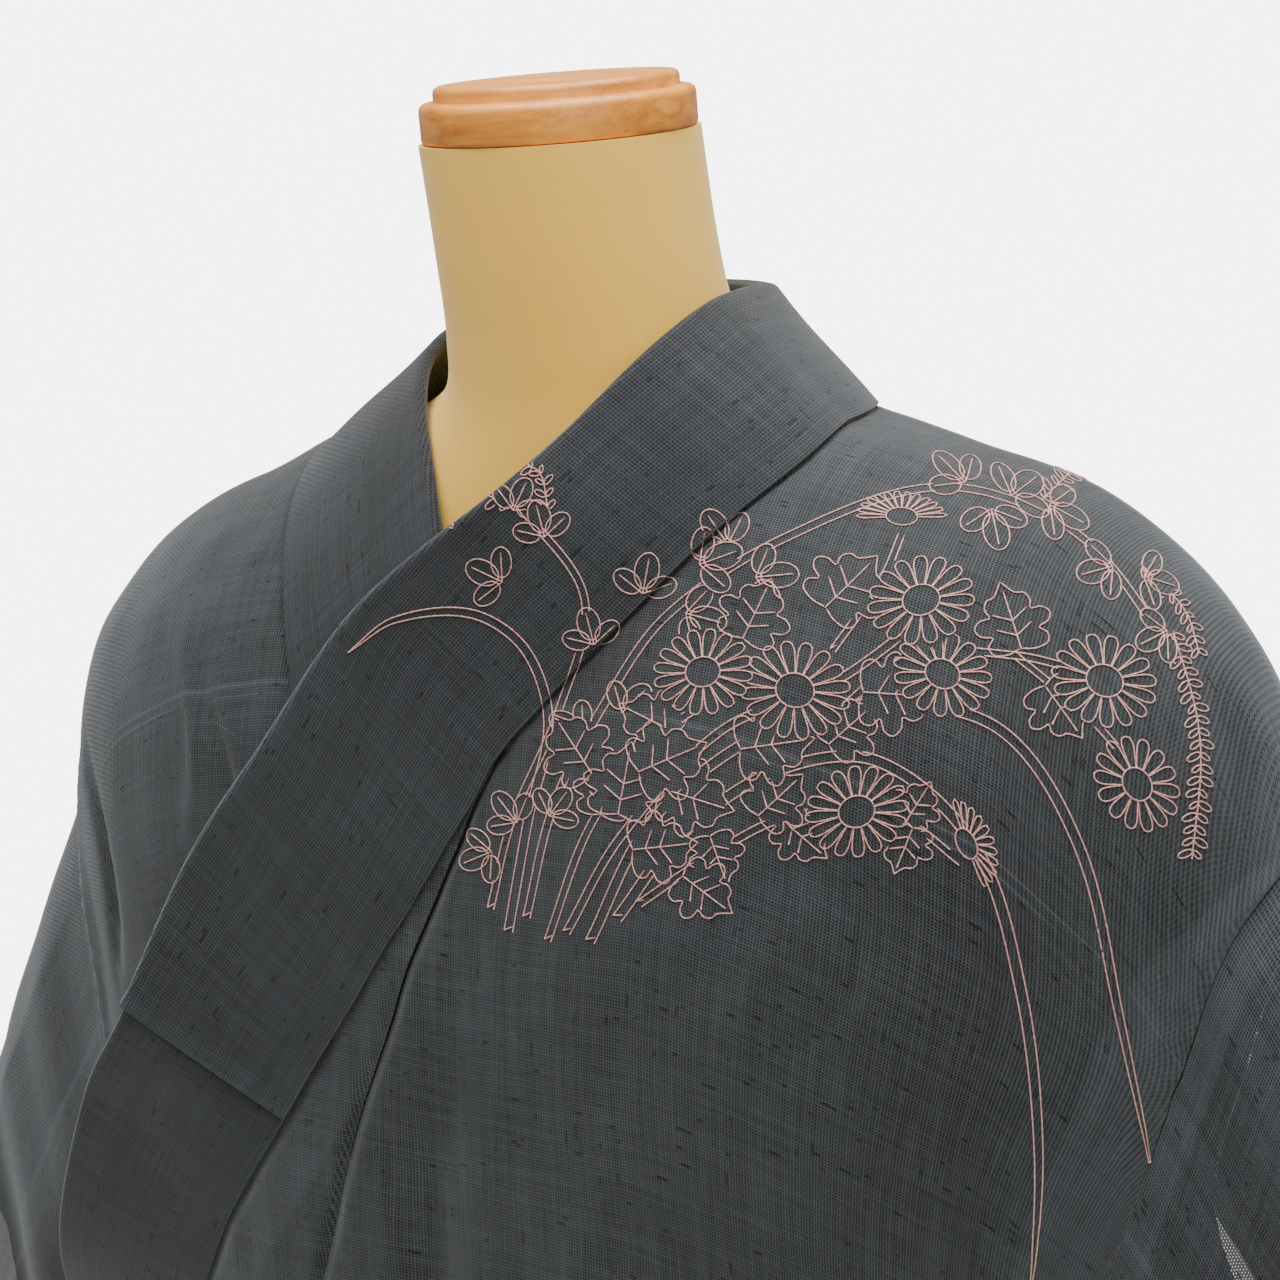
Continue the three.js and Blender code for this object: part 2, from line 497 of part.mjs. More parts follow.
// The sleeve: two layers that meet at the shoulder fold and the bottom seam, open at the inner edge
// below the armhole and at the cuff, and sewn shut under the cuff's opening.
function sleeve(side) {
  const wall = new Wall();
  const seamed = LEVELS.filter((out) => out >= SLIT && out <= ARMHOLE_END)
    .map((out) => (SLEEVE.attached * (out - SLIT)) / (ARMHOLE_END - SLIT));
  const drops = [...seamed, 265, 300, 345, 390, 430, 465, SLEEVE.drop];
  const loop = [...drops.map((drop) => [drop, 1]), ...drops.slice(1).reverse().map((drop) => [drop, -1])];
  const stations = [0, 0.06, 0.15, 0.24, 0.34, 0.44, 0.53, 0.62, 0.71, 0.8, 0.9, 1];
  const shapes = stations.map((station) => loop.map(([drop, face]) => {
    const inner = armholePlace(side, drop, face);
    const outer = cuffPlace(side, drop, face);
    const point = inner.clone().lerp(outer, station);
    const swell = Math.sin(Math.PI * station) * Math.min(1, drop / 70);
    point.y -= face * SLEEVE.swell * swell;
    point.y += SLEEVE.pucker * Math.sin(2 * Math.PI * SLEEVE.waves * station) * swell * (drop / SLEEVE.drop);
    return point;
  }));
  shapes[0].forEach((point, j) => {
    const step = shapes[1][j].clone().sub(point);
    point.addScaledVector(step.normalize(), SEAM);
  });
  const count = loop.length;
  const normals = shapes.map((ring, i) => ring.map((_, j) => {
    const around = ring[(j + 1) % count].clone().sub(ring[(j + count - 1) % count]);
    const next = shapes[Math.min(i + 1, shapes.length - 1)][j];
    const outwards = next.clone().sub(shapes[Math.max(i - 1, 0)][j]);
    return around.cross(outwards).normalize().multiplyScalar(side === 'left' ? 1 : -1);
  }));
  const rows = shapes.map((ring, i) => ring.map((point, j) => (
    wall.point(point, point.clone().addScaledVector(normals[i][j], -CLOTH))
  )));
  wall.grid(rows, true);
  const last = rows.at(-1);
  const firstShut = drops.indexOf(SLEEVE.cuff);
  for (let k = firstShut; k + 1 < drops.length; k += 1) {
    wall.quad(last[count - k], last[count - k - 1], last[k + 1], last[k]);
  }
  return wall.mesh(`sleeve_${side}`, gauzeColour);
}

// A closed body through rings, capped at both ends.
function loft(name, rings, material) {
  const points = rings.flat();
  const count = rings[0].length;
  const triangles = [];
  for (let i = 0; i + 1 < rings.length; i += 1) {
    for (let j = 0; j < count; j += 1) {
      const [a, b] = [i * count + j, i * count + ((j + 1) % count)];
      triangles.push([a, b, b + count], [a, b + count, a + count]);
    }
  }
  for (const [start, turn] of [[0, false], [(rings.length - 1) * count, true]]) {
    const middle = points.slice(start, start + count)
      .reduce((sum, p) => sum.add(p), new THREE.Vector3()).divideScalar(count);
    const centre = points.push(middle) - 1;
    for (let j = 0; j < count; j += 1) {
      const [a, b] = [start + j, start + ((j + 1) % count)];
      triangles.push(turn ? [a, b, centre] : [b, a, centre]);
    }
  }
  return solid(name, points, triangles, material);
}

// The padded torso and neck, without limbs. Its shoulders carry the cloth.
function dressForm() {
  const angles = Array.from({ length: AROUND }, (_, j) => (360 * j) / AROUND);
  const neck = NECK.map((ring) => angles.map((phi) => ringPoint(ring, phi)));
  const yoke = YOKE_RINGS.map((w) => angles.map((phi) => {
    const gap = mix(YOKE_GAP.chest, YOKE_GAP.shoulder, Math.sin(radians(phi)) ** 4);
    return skin(phi, w).addScaledVector(outward(phi, w), -gap);
  }));
  const torso = TORSO.map((ring) => angles.map((phi) => ringPoint(ring, phi)));
  return loft('dress_form', [...neck, ...yoke, ...torso], jerseyColour);
}

function turned(name, profile, material) {
  const geometry = new THREE.LatheGeometry(profile.map(([r, z]) => new THREE.Vector2(r, z)), AROUND);
  geometry.rotateX(Math.PI / 2);
  const mesh = new THREE.Mesh(geometry, material);
  mesh.name = name;
  return mesh;
}

function neckCap() {
  const { radius, collar: rim, top, height, round } = CAP;
  const cap = turned('neck_cap', [
    [0, 0], [radius - 1, 0], [radius, 1], [radius, rim - round], [radius - 1, rim - 1], [radius - round, rim],
    [top, rim], [top, height - round], [top - 1, height - 1], [top - round, height], [0, height],
  ], woodColour);
  cap.position.set(0, NECK[0].cy, SHOULDER + NECK[0].side + SEAM);
  return cap;
}

function stand() {
  const bottom = SHOULDER + TORSO.at(-1).side - SEAM;
  const pole = turned('pole', [
    [0, 0], [POLE.radius, 0], [POLE.radius, bottom - FOOT.height - SEAM], [0, bottom - FOOT.height - SEAM],
  ], steelColour);
  pole.position.z = FOOT.height + SEAM;
  const foot = turned('foot', [
    [0, 0], [FOOT.radius - 2, 0], [FOOT.radius, 2], [FOOT.radius, FOOT.rim - 3], [FOOT.radius - 3, FOOT.rim],
    [FOOT.hub + 10, FOOT.rim + 6], [FOOT.hub, FOOT.height - 8], [FOOT.hub - 6, FOOT.height], [0, FOOT.height],
  ], steelColour);
  return [pole, foot];
}

const kimono = new THREE.Group();
for (const side of ['left', 'right']) kimono.add(bodyPanel(side), gore(side), sleeve(side));
kimono.add(...collar(), dressForm(), neckCap(), ...stand());

export default kimono;
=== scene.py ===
# A woman's summer kimono, worn left over right on a limbless dress form. Tables are in millimetres, from
# the shoulder beside the neck; angles are in degrees, 0 in front, 90 at the wearer's left and 180 behind.
import math

import bpy
import numpy as np
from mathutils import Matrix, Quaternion, Vector
from mathutils.bvhtree import BVHTree


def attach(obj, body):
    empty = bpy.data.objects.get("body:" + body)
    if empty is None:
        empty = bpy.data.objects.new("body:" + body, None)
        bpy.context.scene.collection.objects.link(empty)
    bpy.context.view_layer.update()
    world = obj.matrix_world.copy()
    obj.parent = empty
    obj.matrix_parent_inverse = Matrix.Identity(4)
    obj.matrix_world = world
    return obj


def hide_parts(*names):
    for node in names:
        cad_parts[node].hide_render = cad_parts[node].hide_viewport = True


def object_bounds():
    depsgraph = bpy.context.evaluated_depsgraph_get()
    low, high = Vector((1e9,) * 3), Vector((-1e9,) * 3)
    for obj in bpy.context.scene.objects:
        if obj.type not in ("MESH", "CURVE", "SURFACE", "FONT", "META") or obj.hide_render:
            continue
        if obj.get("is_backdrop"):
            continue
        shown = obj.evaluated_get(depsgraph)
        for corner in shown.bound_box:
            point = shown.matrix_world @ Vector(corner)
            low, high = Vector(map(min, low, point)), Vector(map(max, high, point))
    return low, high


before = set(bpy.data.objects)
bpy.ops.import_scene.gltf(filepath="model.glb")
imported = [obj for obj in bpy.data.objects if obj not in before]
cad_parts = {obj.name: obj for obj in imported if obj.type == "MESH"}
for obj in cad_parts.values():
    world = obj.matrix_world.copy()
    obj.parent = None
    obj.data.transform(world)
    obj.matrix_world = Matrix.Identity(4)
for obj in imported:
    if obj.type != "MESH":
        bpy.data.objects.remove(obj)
cad_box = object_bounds()

# The studio: a pale floor under white light from all round, a wide soft lamp overhead and a weaker one
# in front of the wearer's left. The camera stands off the wearer's left shoulder, at the height of the neck.
# These places are in metres.
CAMERA_PLACE = Vector((0.515, -0.748, 1.6936))
CAMERA_AIM = Vector((0.063, -0.0803, 1.4672))
CAMERA_ROLL = math.radians(4.5)
CAMERA_LENS = 69.6
ROOM_LIGHT = 0.40
ROOM_SEEN = 6.0
FLOOR_RADIUS = 1.6
FLOOR_AROUND = 96
FLOOR_SHADE = (0.80, 0.80, 0.79, 1)
FLOOR_LIGHT = (0.84, 0.84, 0.83, 1)
# name, place, what it points at, width and watts
LAMPS = (
    ("overhead", (0.2, -0.1, 3.4), (0.0, 0.0, 1.4), 2.4, 150),
    ("front_left", (1.9, -1.6, 2.2), (0.0, 0.0, 1.5), 1.6, 16),
)

camera = bpy.data.objects.new("camera", bpy.data.cameras.new("camera"))
bpy.context.scene.collection.objects.link(camera)
camera.location = CAMERA_PLACE
camera.rotation_mode = "QUATERNION"
facing = (CAMERA_AIM - CAMERA_PLACE).to_track_quat("-Z", "Y")
camera.rotation_quaternion = facing @ Quaternion((0, 0, 1), -CAMERA_ROLL)
camera.data.lens = CAMERA_LENS
camera.data.clip_start = 0.05
bpy.context.scene.camera = camera

for name, place, aim, size, power in LAMPS:
    lamp = bpy.data.objects.new(name, bpy.data.lights.new(name, "AREA"))
    bpy.context.scene.collection.objects.link(lamp)
    lamp.location = place
    lamp.rotation_euler = (Vector(aim) - Vector(place)).to_track_quat("-Z", "Y").to_euler()
    lamp.data.size = size
    lamp.data.energy = power


class Socket:
    """A value in a material, which can be added, multiplied and compared like a number."""

    def __init__(self, tree, end=None):
        self.tree = tree
        self.end = end

    def node(self, kind, settings=None, sockets=None, output=0):
        made = self.tree.nodes.new("ShaderNode" + kind)
        for name, value in (settings or {}).items():
            setattr(made, name, value)
        for name, value in (sockets or {}).items():
            if isinstance(value, Socket):
                self.tree.links.new(value.end, made.inputs[name])
            else:
                made.inputs[name].default_value = value
        return Socket(self.tree, made.outputs[output] if made.outputs else None)

    def math(self, operation, *values):
        return self.node("Math", {"operation": operation}, dict(enumerate(values)))

    def __add__(self, other):
        return self.math("ADD", self, other)

    def __sub__(self, other):
        return self.math("SUBTRACT", self, other)

    def __rsub__(self, other):
        return self.math("SUBTRACT", other, self)

    def __mul__(self, other):
        return self.math("MULTIPLY", self, other)

    def __mod__(self, other):
        return self.math("FLOORED_MODULO", self, other)

    def __abs__(self):
        return self.math("ABSOLUTE", self)

    __radd__ = __add__
    __rmul__ = __mul__

    def floor(self):
        return self.math("FLOOR", self)

    def larger(self, other):
        return self.math("MAXIMUM", self, other)

    def step(self, low, high):
        """0 below low, 1 above high and a straight rise between."""
        settings = {"clamp": True, "interpolation_type": "LINEAR"}
        return self.node("MapRange", settings, {"Value": self, "From Min": low, "From Max": high})

    def in_object(self):
        """A point's place in its own object."""
        return self.node("TexCoord", output=3)

    def noise(self, scale, detail, settings=None, **more):
        sockets = {"Vector": self, "Scale": scale, "Detail": detail, **more}
        return self.node("TexNoise", settings, sockets)

    def raised(self, strength, distance):
        """The bumps of a surface that this value raises, by a distance in metres."""
        return self.node("Bump", sockets={"Strength": strength, "Distance": distance, "Height": self})


def blend(share, low, high):
    """The colour a share of the way from low to high; the node names its colour sockets alike."""
    return share.node("Mix", {"data_type": "RGBA"}, {0: share, 6: low, 7: high}, output=2)


def material(name):
    made = bpy.data.materials.new(name)
    made.use_nodes = True
    made.node_tree.nodes.clear()
    return made, Socket(made.node_tree)


def finished(made, start, sockets):
    """Gives a material its one surface."""
    surface = start.node("BsdfPrincipled", sockets=sockets)
    surface.node("OutputMaterial", sockets={"Surface": surface})
    return made


world = bpy.data.worlds.new("room")
world.use_nodes = True
world.node_tree.nodes.clear()
bpy.context.scene.world = world
room = Socket(world.node_tree)
seen = room.node("LightPath")
brightness = ROOM_LIGHT + (ROOM_SEEN - ROOM_LIGHT) * seen
light = room.node("Background", sockets={"Color": (1, 1, 1, 1), "Strength": brightness})
light.node("OutputWorld", sockets={"Surface": light})

floor_mesh = bpy.data.meshes.new("floor")
angles = np.linspace(0, 2 * math.pi, FLOOR_AROUND, endpoint=False)
floor_points = [(FLOOR_RADIUS * math.cos(a), FLOOR_RADIUS * math.sin(a), 0) for a in angles]
floor_mesh.from_pydata(floor_points, [], [list(range(FLOOR_AROUND))])
floor_paint, ground = material("floor_paint")
speckle = ground.node("TexNoise", sockets={"Scale": 60.0, "Detail": 3.0})
floor_colour = blend(speckle, FLOOR_SHADE, FLOOR_LIGHT)
finished(floor_paint, ground, {"Base Color": floor_colour, "Roughness": 0.8})
floor_mesh.materials.append(floor_paint)
floor = bpy.data.objects.new("floor", floor_mesh)
bpy.context.scene.collection.objects.link(floor)
floor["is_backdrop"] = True

# The dress form: a padded torso with sloping shoulders and a neck, no limbs, covered in fine cream jersey
# drawn tight over foam. The jersey is sewn up the middle of the back, where no one looks.
MM = 0.001
SHOULDER = 1530
HEM = 13
SQUARENESS = 2.3
# ring, half width, depth in front, depth behind, height at the side, in front and behind, right droop
RINGS = (
    (0, 70, 59, 67, 2, -36, 11, 1), (1, 108, 76, 83, -4, -83, -20, 5), (2, 146, 88, 93, -13, -126, -59, 14),
    (3, 191, 99, 97, -27, -169, -101, 20), (4, 230, 108, 101, -56, -212, -144, 22),
    (5, 257, 114, 104, -99, -261, -193, 17), (6, 270, 120, 108, -167, -315, -252, 9),
    (7, 272, 126, 113, -261, -380, -329, 3), (8, 266, 131, 118, -365, -455, -420, 0),
    (9, 254, 134, 122, -485, -550, -525, 0), (10, 240, 135, 125, -640, -680, -665, 0),
    (11, 230, 135, 128, -880, -895, -890, 0), (12, 224, 136, 130, -1190, -1195, -1192, 0),
    (13, 222, 138, 132, -1500, -1500, -1500, 0),
)
DROOP_ANGLE = -105
DROOP_SPREAD = 45
# half width, depth in front and behind, height at the side, in front and behind, middle forward
NECK = (
    (48.5, 48.5, 48.5, 100.5, 100.5, 100.5, -12.6), (49, 49, 49, 62, 60, 64, -8),
    (51, 50, 51, 32, 27, 38, -3.5), (58, 53, 58, 12, -4, 22, 0),
)
YOKE = (0.5, 1, 1.5, 2, 2.5, 2.9)
YOKE_UNDER_SHOULDER = 2.8
YOKE_UNDER_CHEST = 9
TORSO = (
    (187, 90, 86, -68, -184, -134, 0), (178, 93, 86, -112, -204, -166, 0), (164, 97, 84, -168, -230, -204, 0),
    (150, 99, 81, -235, -262, -250, 0), (134, 90, 78, -320, -330, -325, 0),
    (122, 82, 78, -400, -400, -400, 0), (138, 88, 90, -490, -490, -490, 0),
    (158, 94, 98, -590, -590, -590, 0), (158, 94, 96, -670, -670, -670, 0),
    (146, 84, 86, -706, -706, -706, 0), (132, 72, 74, -712, -712, -712, 0),
)
FORM_AROUND = 128
FORM_STEPS = 6
ANGLE_STEP = 0.5
RING_STEP = 0.01
WELDS_PER_MM = 50
SHARP_ANGLE = 45
JERSEY_SHADE = (1.0, 0.52, 0.055, 1)
JERSEY_LIGHT = (1.0, 0.63, 0.09, 1)


def ease(t):
    t = np.clip(t, 0, 1)
    return t * t * (3 - 2 * t)


def follow(table, at):
    """Reads a table between its rows on a smooth curve; the first column says where each row is."""
    rows = np.array(table, float)
    where, what = rows[:, 0], rows[:, 1:]
    order = np.arange(len(where))
    before, after = np.maximum(order - 1, 0), np.minimum(order + 1, len(where) - 1)
    slope = (what[after] - what[before]) / (where[after] - where[before])[:, None]
    at = np.clip(np.asarray(at, float), where[0], where[-1])
    i = np.clip(np.searchsorted(where, at, side="right") - 1, 0, len(where) - 2)
    span = (where[i + 1] - where[i])[..., None]
    t = (at - where[i])[..., None] / span
    curve = (2 * t**3 - 3 * t**2 + 1) * what[i] + (t**3 - 2 * t**2 + t) * slope[i] * span
    curve = curve + (3 * t**2 - 2 * t**3) * what[i + 1] + (t**3 - t**2) * slope[i + 1] * span
    return np.moveaxis(curve, -1, 0)


def ring_point(phi, half, front, back, side, fore, aft, middle=0.0):
    """A point of a body ring, squarer than an ellipse and sagging from its sides to its middle."""
    sine, cosine = np.sin(np.radians(phi)), np.cos(np.radians(phi))
    depth, low = np.where(cosine >= 0, front, back), np.where(cosine >= 0, fore, aft)
    total = np.abs(sine / half) ** SQUARENESS + np.abs(cosine / depth) ** SQUARENESS
    reach = total ** (-1 / SQUARENESS)
    height = SHOULDER + side + (low - side) * cosine**2
    return np.stack([reach * sine, middle - reach * cosine, height], axis=-1)


def wrapped(phi):
    return (phi + 180) % 360 - 180


def unit(vectors):
    return vectors / np.maximum(np.linalg.norm(vectors, axis=-1, keepdims=True), 1e-9)


def skin(phi, w):
    """The smooth surface that the cloth hangs on: phi is the angle and w the ring."""
    *ring, droop = follow(RINGS, w)
    point = ring_point(phi, *ring)
    point[..., 2] -= droop * np.exp(-((wrapped(phi - DROOP_ANGLE) / DROOP_SPREAD) ** 2))
    return point


def outward(phi, w):
    level = np.minimum(w, HEM - 2 * RING_STEP)
    around = skin(phi + ANGLE_STEP, level) - skin(phi - ANGLE_STEP, level)
    down = skin(phi, level + RING_STEP) - skin(phi, level - RING_STEP)
    return unit(np.cross(down, around))


class Shell:
    """Gathers grids of points, joins them where points meet, and makes one mesh of them, with an inner
    face and closed rims where inner points are given."""

    def __init__(self):
        self.outer, self.inner, self.uv, self.doubled, self.quads = [], [], [], [], []
        self.count = 0

    def add(self, outer, inner=None, uv=None, doubled=None):
        rows, columns = outer.shape[:2]
        numbers = self.count + np.arange(rows * columns).reshape(rows, columns)
        corners = (numbers[:-1, :-1], numbers[1:, :-1], numbers[1:, 1:], numbers[:-1, 1:])
        self.quads.append(np.stack(corners, axis=-1).reshape(-1, 4))
        self.outer.append(outer.reshape(-1, 3))
        self.inner.append((outer if inner is None else inner).reshape(-1, 3))
        self.uv.append((np.zeros((rows, columns, 2)) if uv is None else uv).reshape(-1, 2))
        self.doubled.append((np.zeros((rows, columns)) if doubled is None else doubled).reshape(-1))
        self.count += rows * columns

    def faces(self, walled):
        """Corner numbers of every face, before and after points that meet are joined."""
        points = np.concatenate(self.outer)
        near = np.round(points * WELDS_PER_MM)
        _, first, joined = np.unique(near, axis=0, return_index=True, return_inverse=True)
        joined = joined.reshape(-1)
        quads = np.concatenate(self.quads)
        merged = joined[quads]
        a, b, c = (points[quads[:, k]] for k in range(3))
        volume = np.einsum("ij,ij->i", a, np.cross(b, c))
        if volume.sum() < 0:
            quads, merged = quads[:, ::-1], merged[:, ::-1]
        made = []
        for raw, corner in zip(quads.tolist(), merged.tolist()):
            kept = [k for k in range(4) if corner[k] != corner[k - 1]]
            if len(kept) > 2 and len({corner[k] for k in kept}) == len(kept):
                made.append(([corner[k] for k in kept], [raw[k] for k in kept]))
        count = len(first)
        if walled:
            edges = {}
            for corner, raw in made:
                for k in range(len(corner)):
                    edge = (corner[k - 1], corner[k])
                    if edges.pop((edge[1], edge[0]), None) is None:
                        edges[edge] = (raw[k - 1], raw[k])
            made += [([c + count for c in corner[::-1]], raw[::-1]) for corner, raw in list(made)]
            for (a, b), (p, q) in edges.items():
                made.append(([b, a, a + count, b + count], [q, p, p, q]))
        return first, made

    def mesh(self, name, paint, walled=True):
        first, made = self.faces(walled)
        outer, inner = np.concatenate(self.outer)[first], np.concatenate(self.inner)[first]
        points = np.concatenate([outer, inner]) if walled else outer
        mesh = bpy.data.meshes.new(name)
        mesh.from_pydata((points * MM).tolist(), [], [corner for corner, _ in made])
        loops = np.concatenate([raw for _, raw in made])
        layer = mesh.uv_layers.new(name="grain")
        layer.data.foreach_set("uv", np.concatenate(self.uv)[loops].astype(np.float32).ravel())
        doubled = mesh.attributes.new("doubled", "FLOAT", "POINT")
        values = np.concatenate(self.doubled)[first]
        values = np.concatenate([values, values]) if walled else values
        doubled.data.foreach_set("value", values.astype(np.float32))
        mesh.shade_smooth()
        mesh.set_sharp_from_angle(angle=math.radians(SHARP_ANGLE))
        mesh.materials.append(paint)
        return mesh


def put(mesh, slot, *nodes):
    """Places a finished piece in the object, instead of the plain solids that it stands for."""
    made = bpy.data.objects.new(mesh.name, mesh)
    bpy.context.scene.collection.objects.link(made)
    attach(made, "root")
    if nodes:
        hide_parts(*nodes)
    return made


def jersey():
    made, start = material("form_jersey")
    place = start.in_object()
    loops = place.noise(900.0, 2.0)
    patches = place.noise(14.0, 4.0)
    tone = loops * 0.5 + patches * 0.5
    colour = blend(tone.step(0.3, 0.7), JERSEY_SHADE, JERSEY_LIGHT)
    sockets = {"Base Color": colour, "Roughness": 0.75, "Sheen Weight": 0.25, "Sheen Roughness": 0.5}
    return finished(made, start, {**sockets, "Normal": loops.raised(0.25, 0.0002)})


def form_rings():
    """Rings from the top of the neck to the base, filled in between on smooth curves."""
    phi = np.linspace(0, 360, FORM_AROUND + 1)
    rings = [ring_point(phi, *row) for row in NECK]
    for w in YOKE:
        under = YOKE_UNDER_CHEST + (YOKE_UNDER_SHOULDER - YOKE_UNDER_CHEST) * np.sin(np.radians(phi)) ** 4
        level = np.full_like(phi, w)
        rings.append(skin(phi, level) - outward(phi, level) * under[:, None])
    rings += [ring_point(phi, *row) for row in TORSO]
    table = np.column_stack([np.arange(len(rings)), np.reshape(rings, (len(rings), -1))])
    smooth = follow(table, np.linspace(0, len(rings) - 1, FORM_STEPS * (len(rings) - 1) + 1))
    smooth = np.moveaxis(smooth, 0, -1).reshape(-1, FORM_AROUND + 1, 3)
    top, base = smooth[:1].mean(axis=1, keepdims=True), smooth[-1:].mean(axis=1, keepdims=True)
    ends = [np.repeat(end, FORM_AROUND + 1, axis=1) for end in (top, base)]
    return np.concatenate([ends[0], smooth, ends[1]])


form = Shell()
form.add(form_rings())
put(form.mesh("dress_form_jersey", jersey(), walled=False), "form_jersey", "dress_form")

# The neck cap: a disc turned from one piece of wood in two steps, stained honey brown and varnished, and
# screwed down on the neck.
CAP_FORWARD = -12.6
CAP_BASE = 100.8
CAP_PROFILE = (
    (0, 0), (48.4, 0), (49.2, 0.5), (49.5, 1.4), (49.5, 11.2), (49.1, 12.8), (47.8, 13.8), (46.0, 14.1),
    (44.3, 14.3), (44.0, 14.8), (44.0, 17.2), (43.5, 18.6), (42.3, 19.4), (40.5, 19.5), (0, 19.5),
)
TURNED_AROUND = 128
WOOD_SHADE = (0.52, 0.14, 0.008, 1)
WOOD_LIGHT = (0.88, 0.37, 0.035, 1)


def varnished_wood():
    made, start = material("cap_wood")
    place = start.in_object()
    stretched = place.node("Mapping", sockets={"Vector": place, "Scale": (18.0, 90.0, 200.0)})
    rings = stretched.noise(1.0, 6.0, Distortion=0.6)
    pores = place.node("Mapping", sockets={"Vector": place, "Scale": (60.0, 900.0, 900.0)})
    pores = pores.noise(1.0, 2.0)
    tone = rings.step(0.3, 0.7) * 0.8 + pores.step(0.35, 0.65) * 0.2
    colour = blend(tone, WOOD_SHADE, WOOD_LIGHT)
    sockets = {"Base Color": colour, "Roughness": 0.45, "Coat Weight": 0.3, "Coat Roughness": 0.25}
    return finished(made, start, {**sockets, "Normal": pores.raised(0.08, 0.0003)})


def turned(name, profile, base, forward, paint):
    """A solid of revolution through a profile of radius and height."""
    radius, height = np.array(profile, float).T
    angle = np.linspace(0, 2 * math.pi, TURNED_AROUND + 1)
    across = np.outer(radius, np.sin(angle))
    ahead = forward - np.outer(radius, np.cos(angle))
    up = np.repeat((base + height)[:, None], len(angle), axis=1)
    shell = Shell()
    shell.add(np.stack([across, ahead, up], axis=-1))
    return shell.mesh(name, paint, walled=False)


cap_mesh = turned("neck_cap_turned", CAP_PROFILE, SHOULDER + CAP_BASE, CAP_FORWARD, varnished_wood())
put(cap_mesh, "cap_wood", "neck_cap")

# The stand: a bright steel tube screwed into a heavy round foot, both plated and polished.
POLE_RADIUS = 14
POLE_LENGTH = 783.4
POLE_BASE = 34.3
STEEL_SHADE = (0.55, 0.55, 0.57, 1)
STEEL_LIGHT = (0.66, 0.66, 0.67, 1)
FOOT_PROFILE = (
    (0, 0), (147.5, 0), (149.4, 0.6), (150, 2.2), (150, 6.8), (149.2, 9.0), (147.2, 10), (110, 11.6),
    (70, 13.6), (44, 15.8), (35, 18.5), (31, 22.5), (29.8, 27), (28.6, 31.5), (25.5, 33.8), (22, 34), (0, 34),
)
POLE_PROFILE = ((0, 0), (POLE_RADIUS, 0), (POLE_RADIUS, POLE_LENGTH), (0, POLE_LENGTH))


def plated_steel():
    made, start = material("stand_steel")
    smudges = start.in_object().noise(22.0, 5.0)
    rough = smudges.step(0.35, 0.75) * 0.16 + 0.16
    colour = blend(smudges.step(0.3, 0.7), STEEL_SHADE, STEEL_LIGHT)
    return finished(made, start, {"Base Color": colour, "Metallic": 1.0, "Roughness": rough})


steel_paint = plated_steel()
put(turned("foot_plated", FOOT_PROFILE, 0, 0, steel_paint), "stand_steel", "foot")
put(turned("pole_plated", POLE_PROFILE, POLE_BASE, 0, steel_paint), "stand_steel", "pole")

# The two body panels: one length of sheer slubbed cloth a side, folded over the shoulder without a seam and
# joined down the middle of the back. The left front lies over the right one.
THICKNESS = 0.7
SEAM = 0.3
OVERLAP = 8
SLIT = 5.55
ARMHOLE_END = 7.6
SIDE_SEAM = 9
NECK_RING = 0.864
GORE_POINT = 3.6
# angle at a ring, drift in degrees a ring, half width in degrees, depth out or in, its ring, full at
FOLDS = (
    (-3, -2.6, 6, -5, 3, 6), (12, 0.5, 9, 8, 6, 12), (38, -0.4, 8, -9, 6.5, 12), (58, 0.4, 8, 11, 7, 12),
    (76, 0, 7, -9, 8.5, 12), (-46, 1.2, 8, 9, 7.5, 12), (-68, 0.5, 7, -8, 8, 12.5), (-90, 0.6, 8, 9, 8.5, 12),
    (112, 0.4, 9, 11, 6, 11), (138, 0.4, 9, -10, 5, 11), (163, 0.2, 9, 8, 6, 12), (-160, -0.3, 9, -8, 5, 11),
    (-134, -0.6, 9, 11, 6, 11), (-112, -0.2, 8, -9, 7, 12),
)
# side ring, then angle and ring at the inner seam: the collar's down to the gore's point, then the gore's
FRONTS = {
    1: (
        (0.86, 90, 0.86), (1.3, 73, 0.99), (1.8, 52.5, 1.03), (2.4, 36, 1.14), (3, 19.5, 1.32), (3.6, 3, 1.7),
        (4.2, -7, 2.53), (4.8, -14, 3.45), (5.3, -19, 4.35), (5.55, -23, 5), (6.3, -28.5, 6.05),
        (7, -33, 6.95), (8, -34, 8), (10, -31, 10), (13, -26, 13),
    ),
    -1: (
        (0.86, 90, 0.86), (1.3, 82, 1.03), (1.8, 74, 1.3), (2.4, 65, 1.62), (3, 54, 2.17), (3.6, 42.5, 3.07),
        (4.2, 41, 3.8), (4.8, 39.5, 4.5), (5.3, 38, 5.1), (5.55, 37, 5.4), (6.3, 34, 6.2), (7, 30, 7),
        (8, 25, 8), (10, 20, 10), (13, 12, 13),
    ),
}
# side ring and angle of each front's side edge
ARMHOLE = (
    (5.55, 90), (5.8, 81), (6.3, 76), (6.9, 71), (7.6, 67), (8.2, 73), (9, 85), (10, 86), (13, 86),
)
# ring, angle inside which the left front is fully lifted, and angle past which it isn't
LIFTED = ((0, -4, 40), (3, 20, 60), (5, 30, 66), (7, 40, 66), (8, 48, 70), (10, 66, 84), (13, 66, 84))
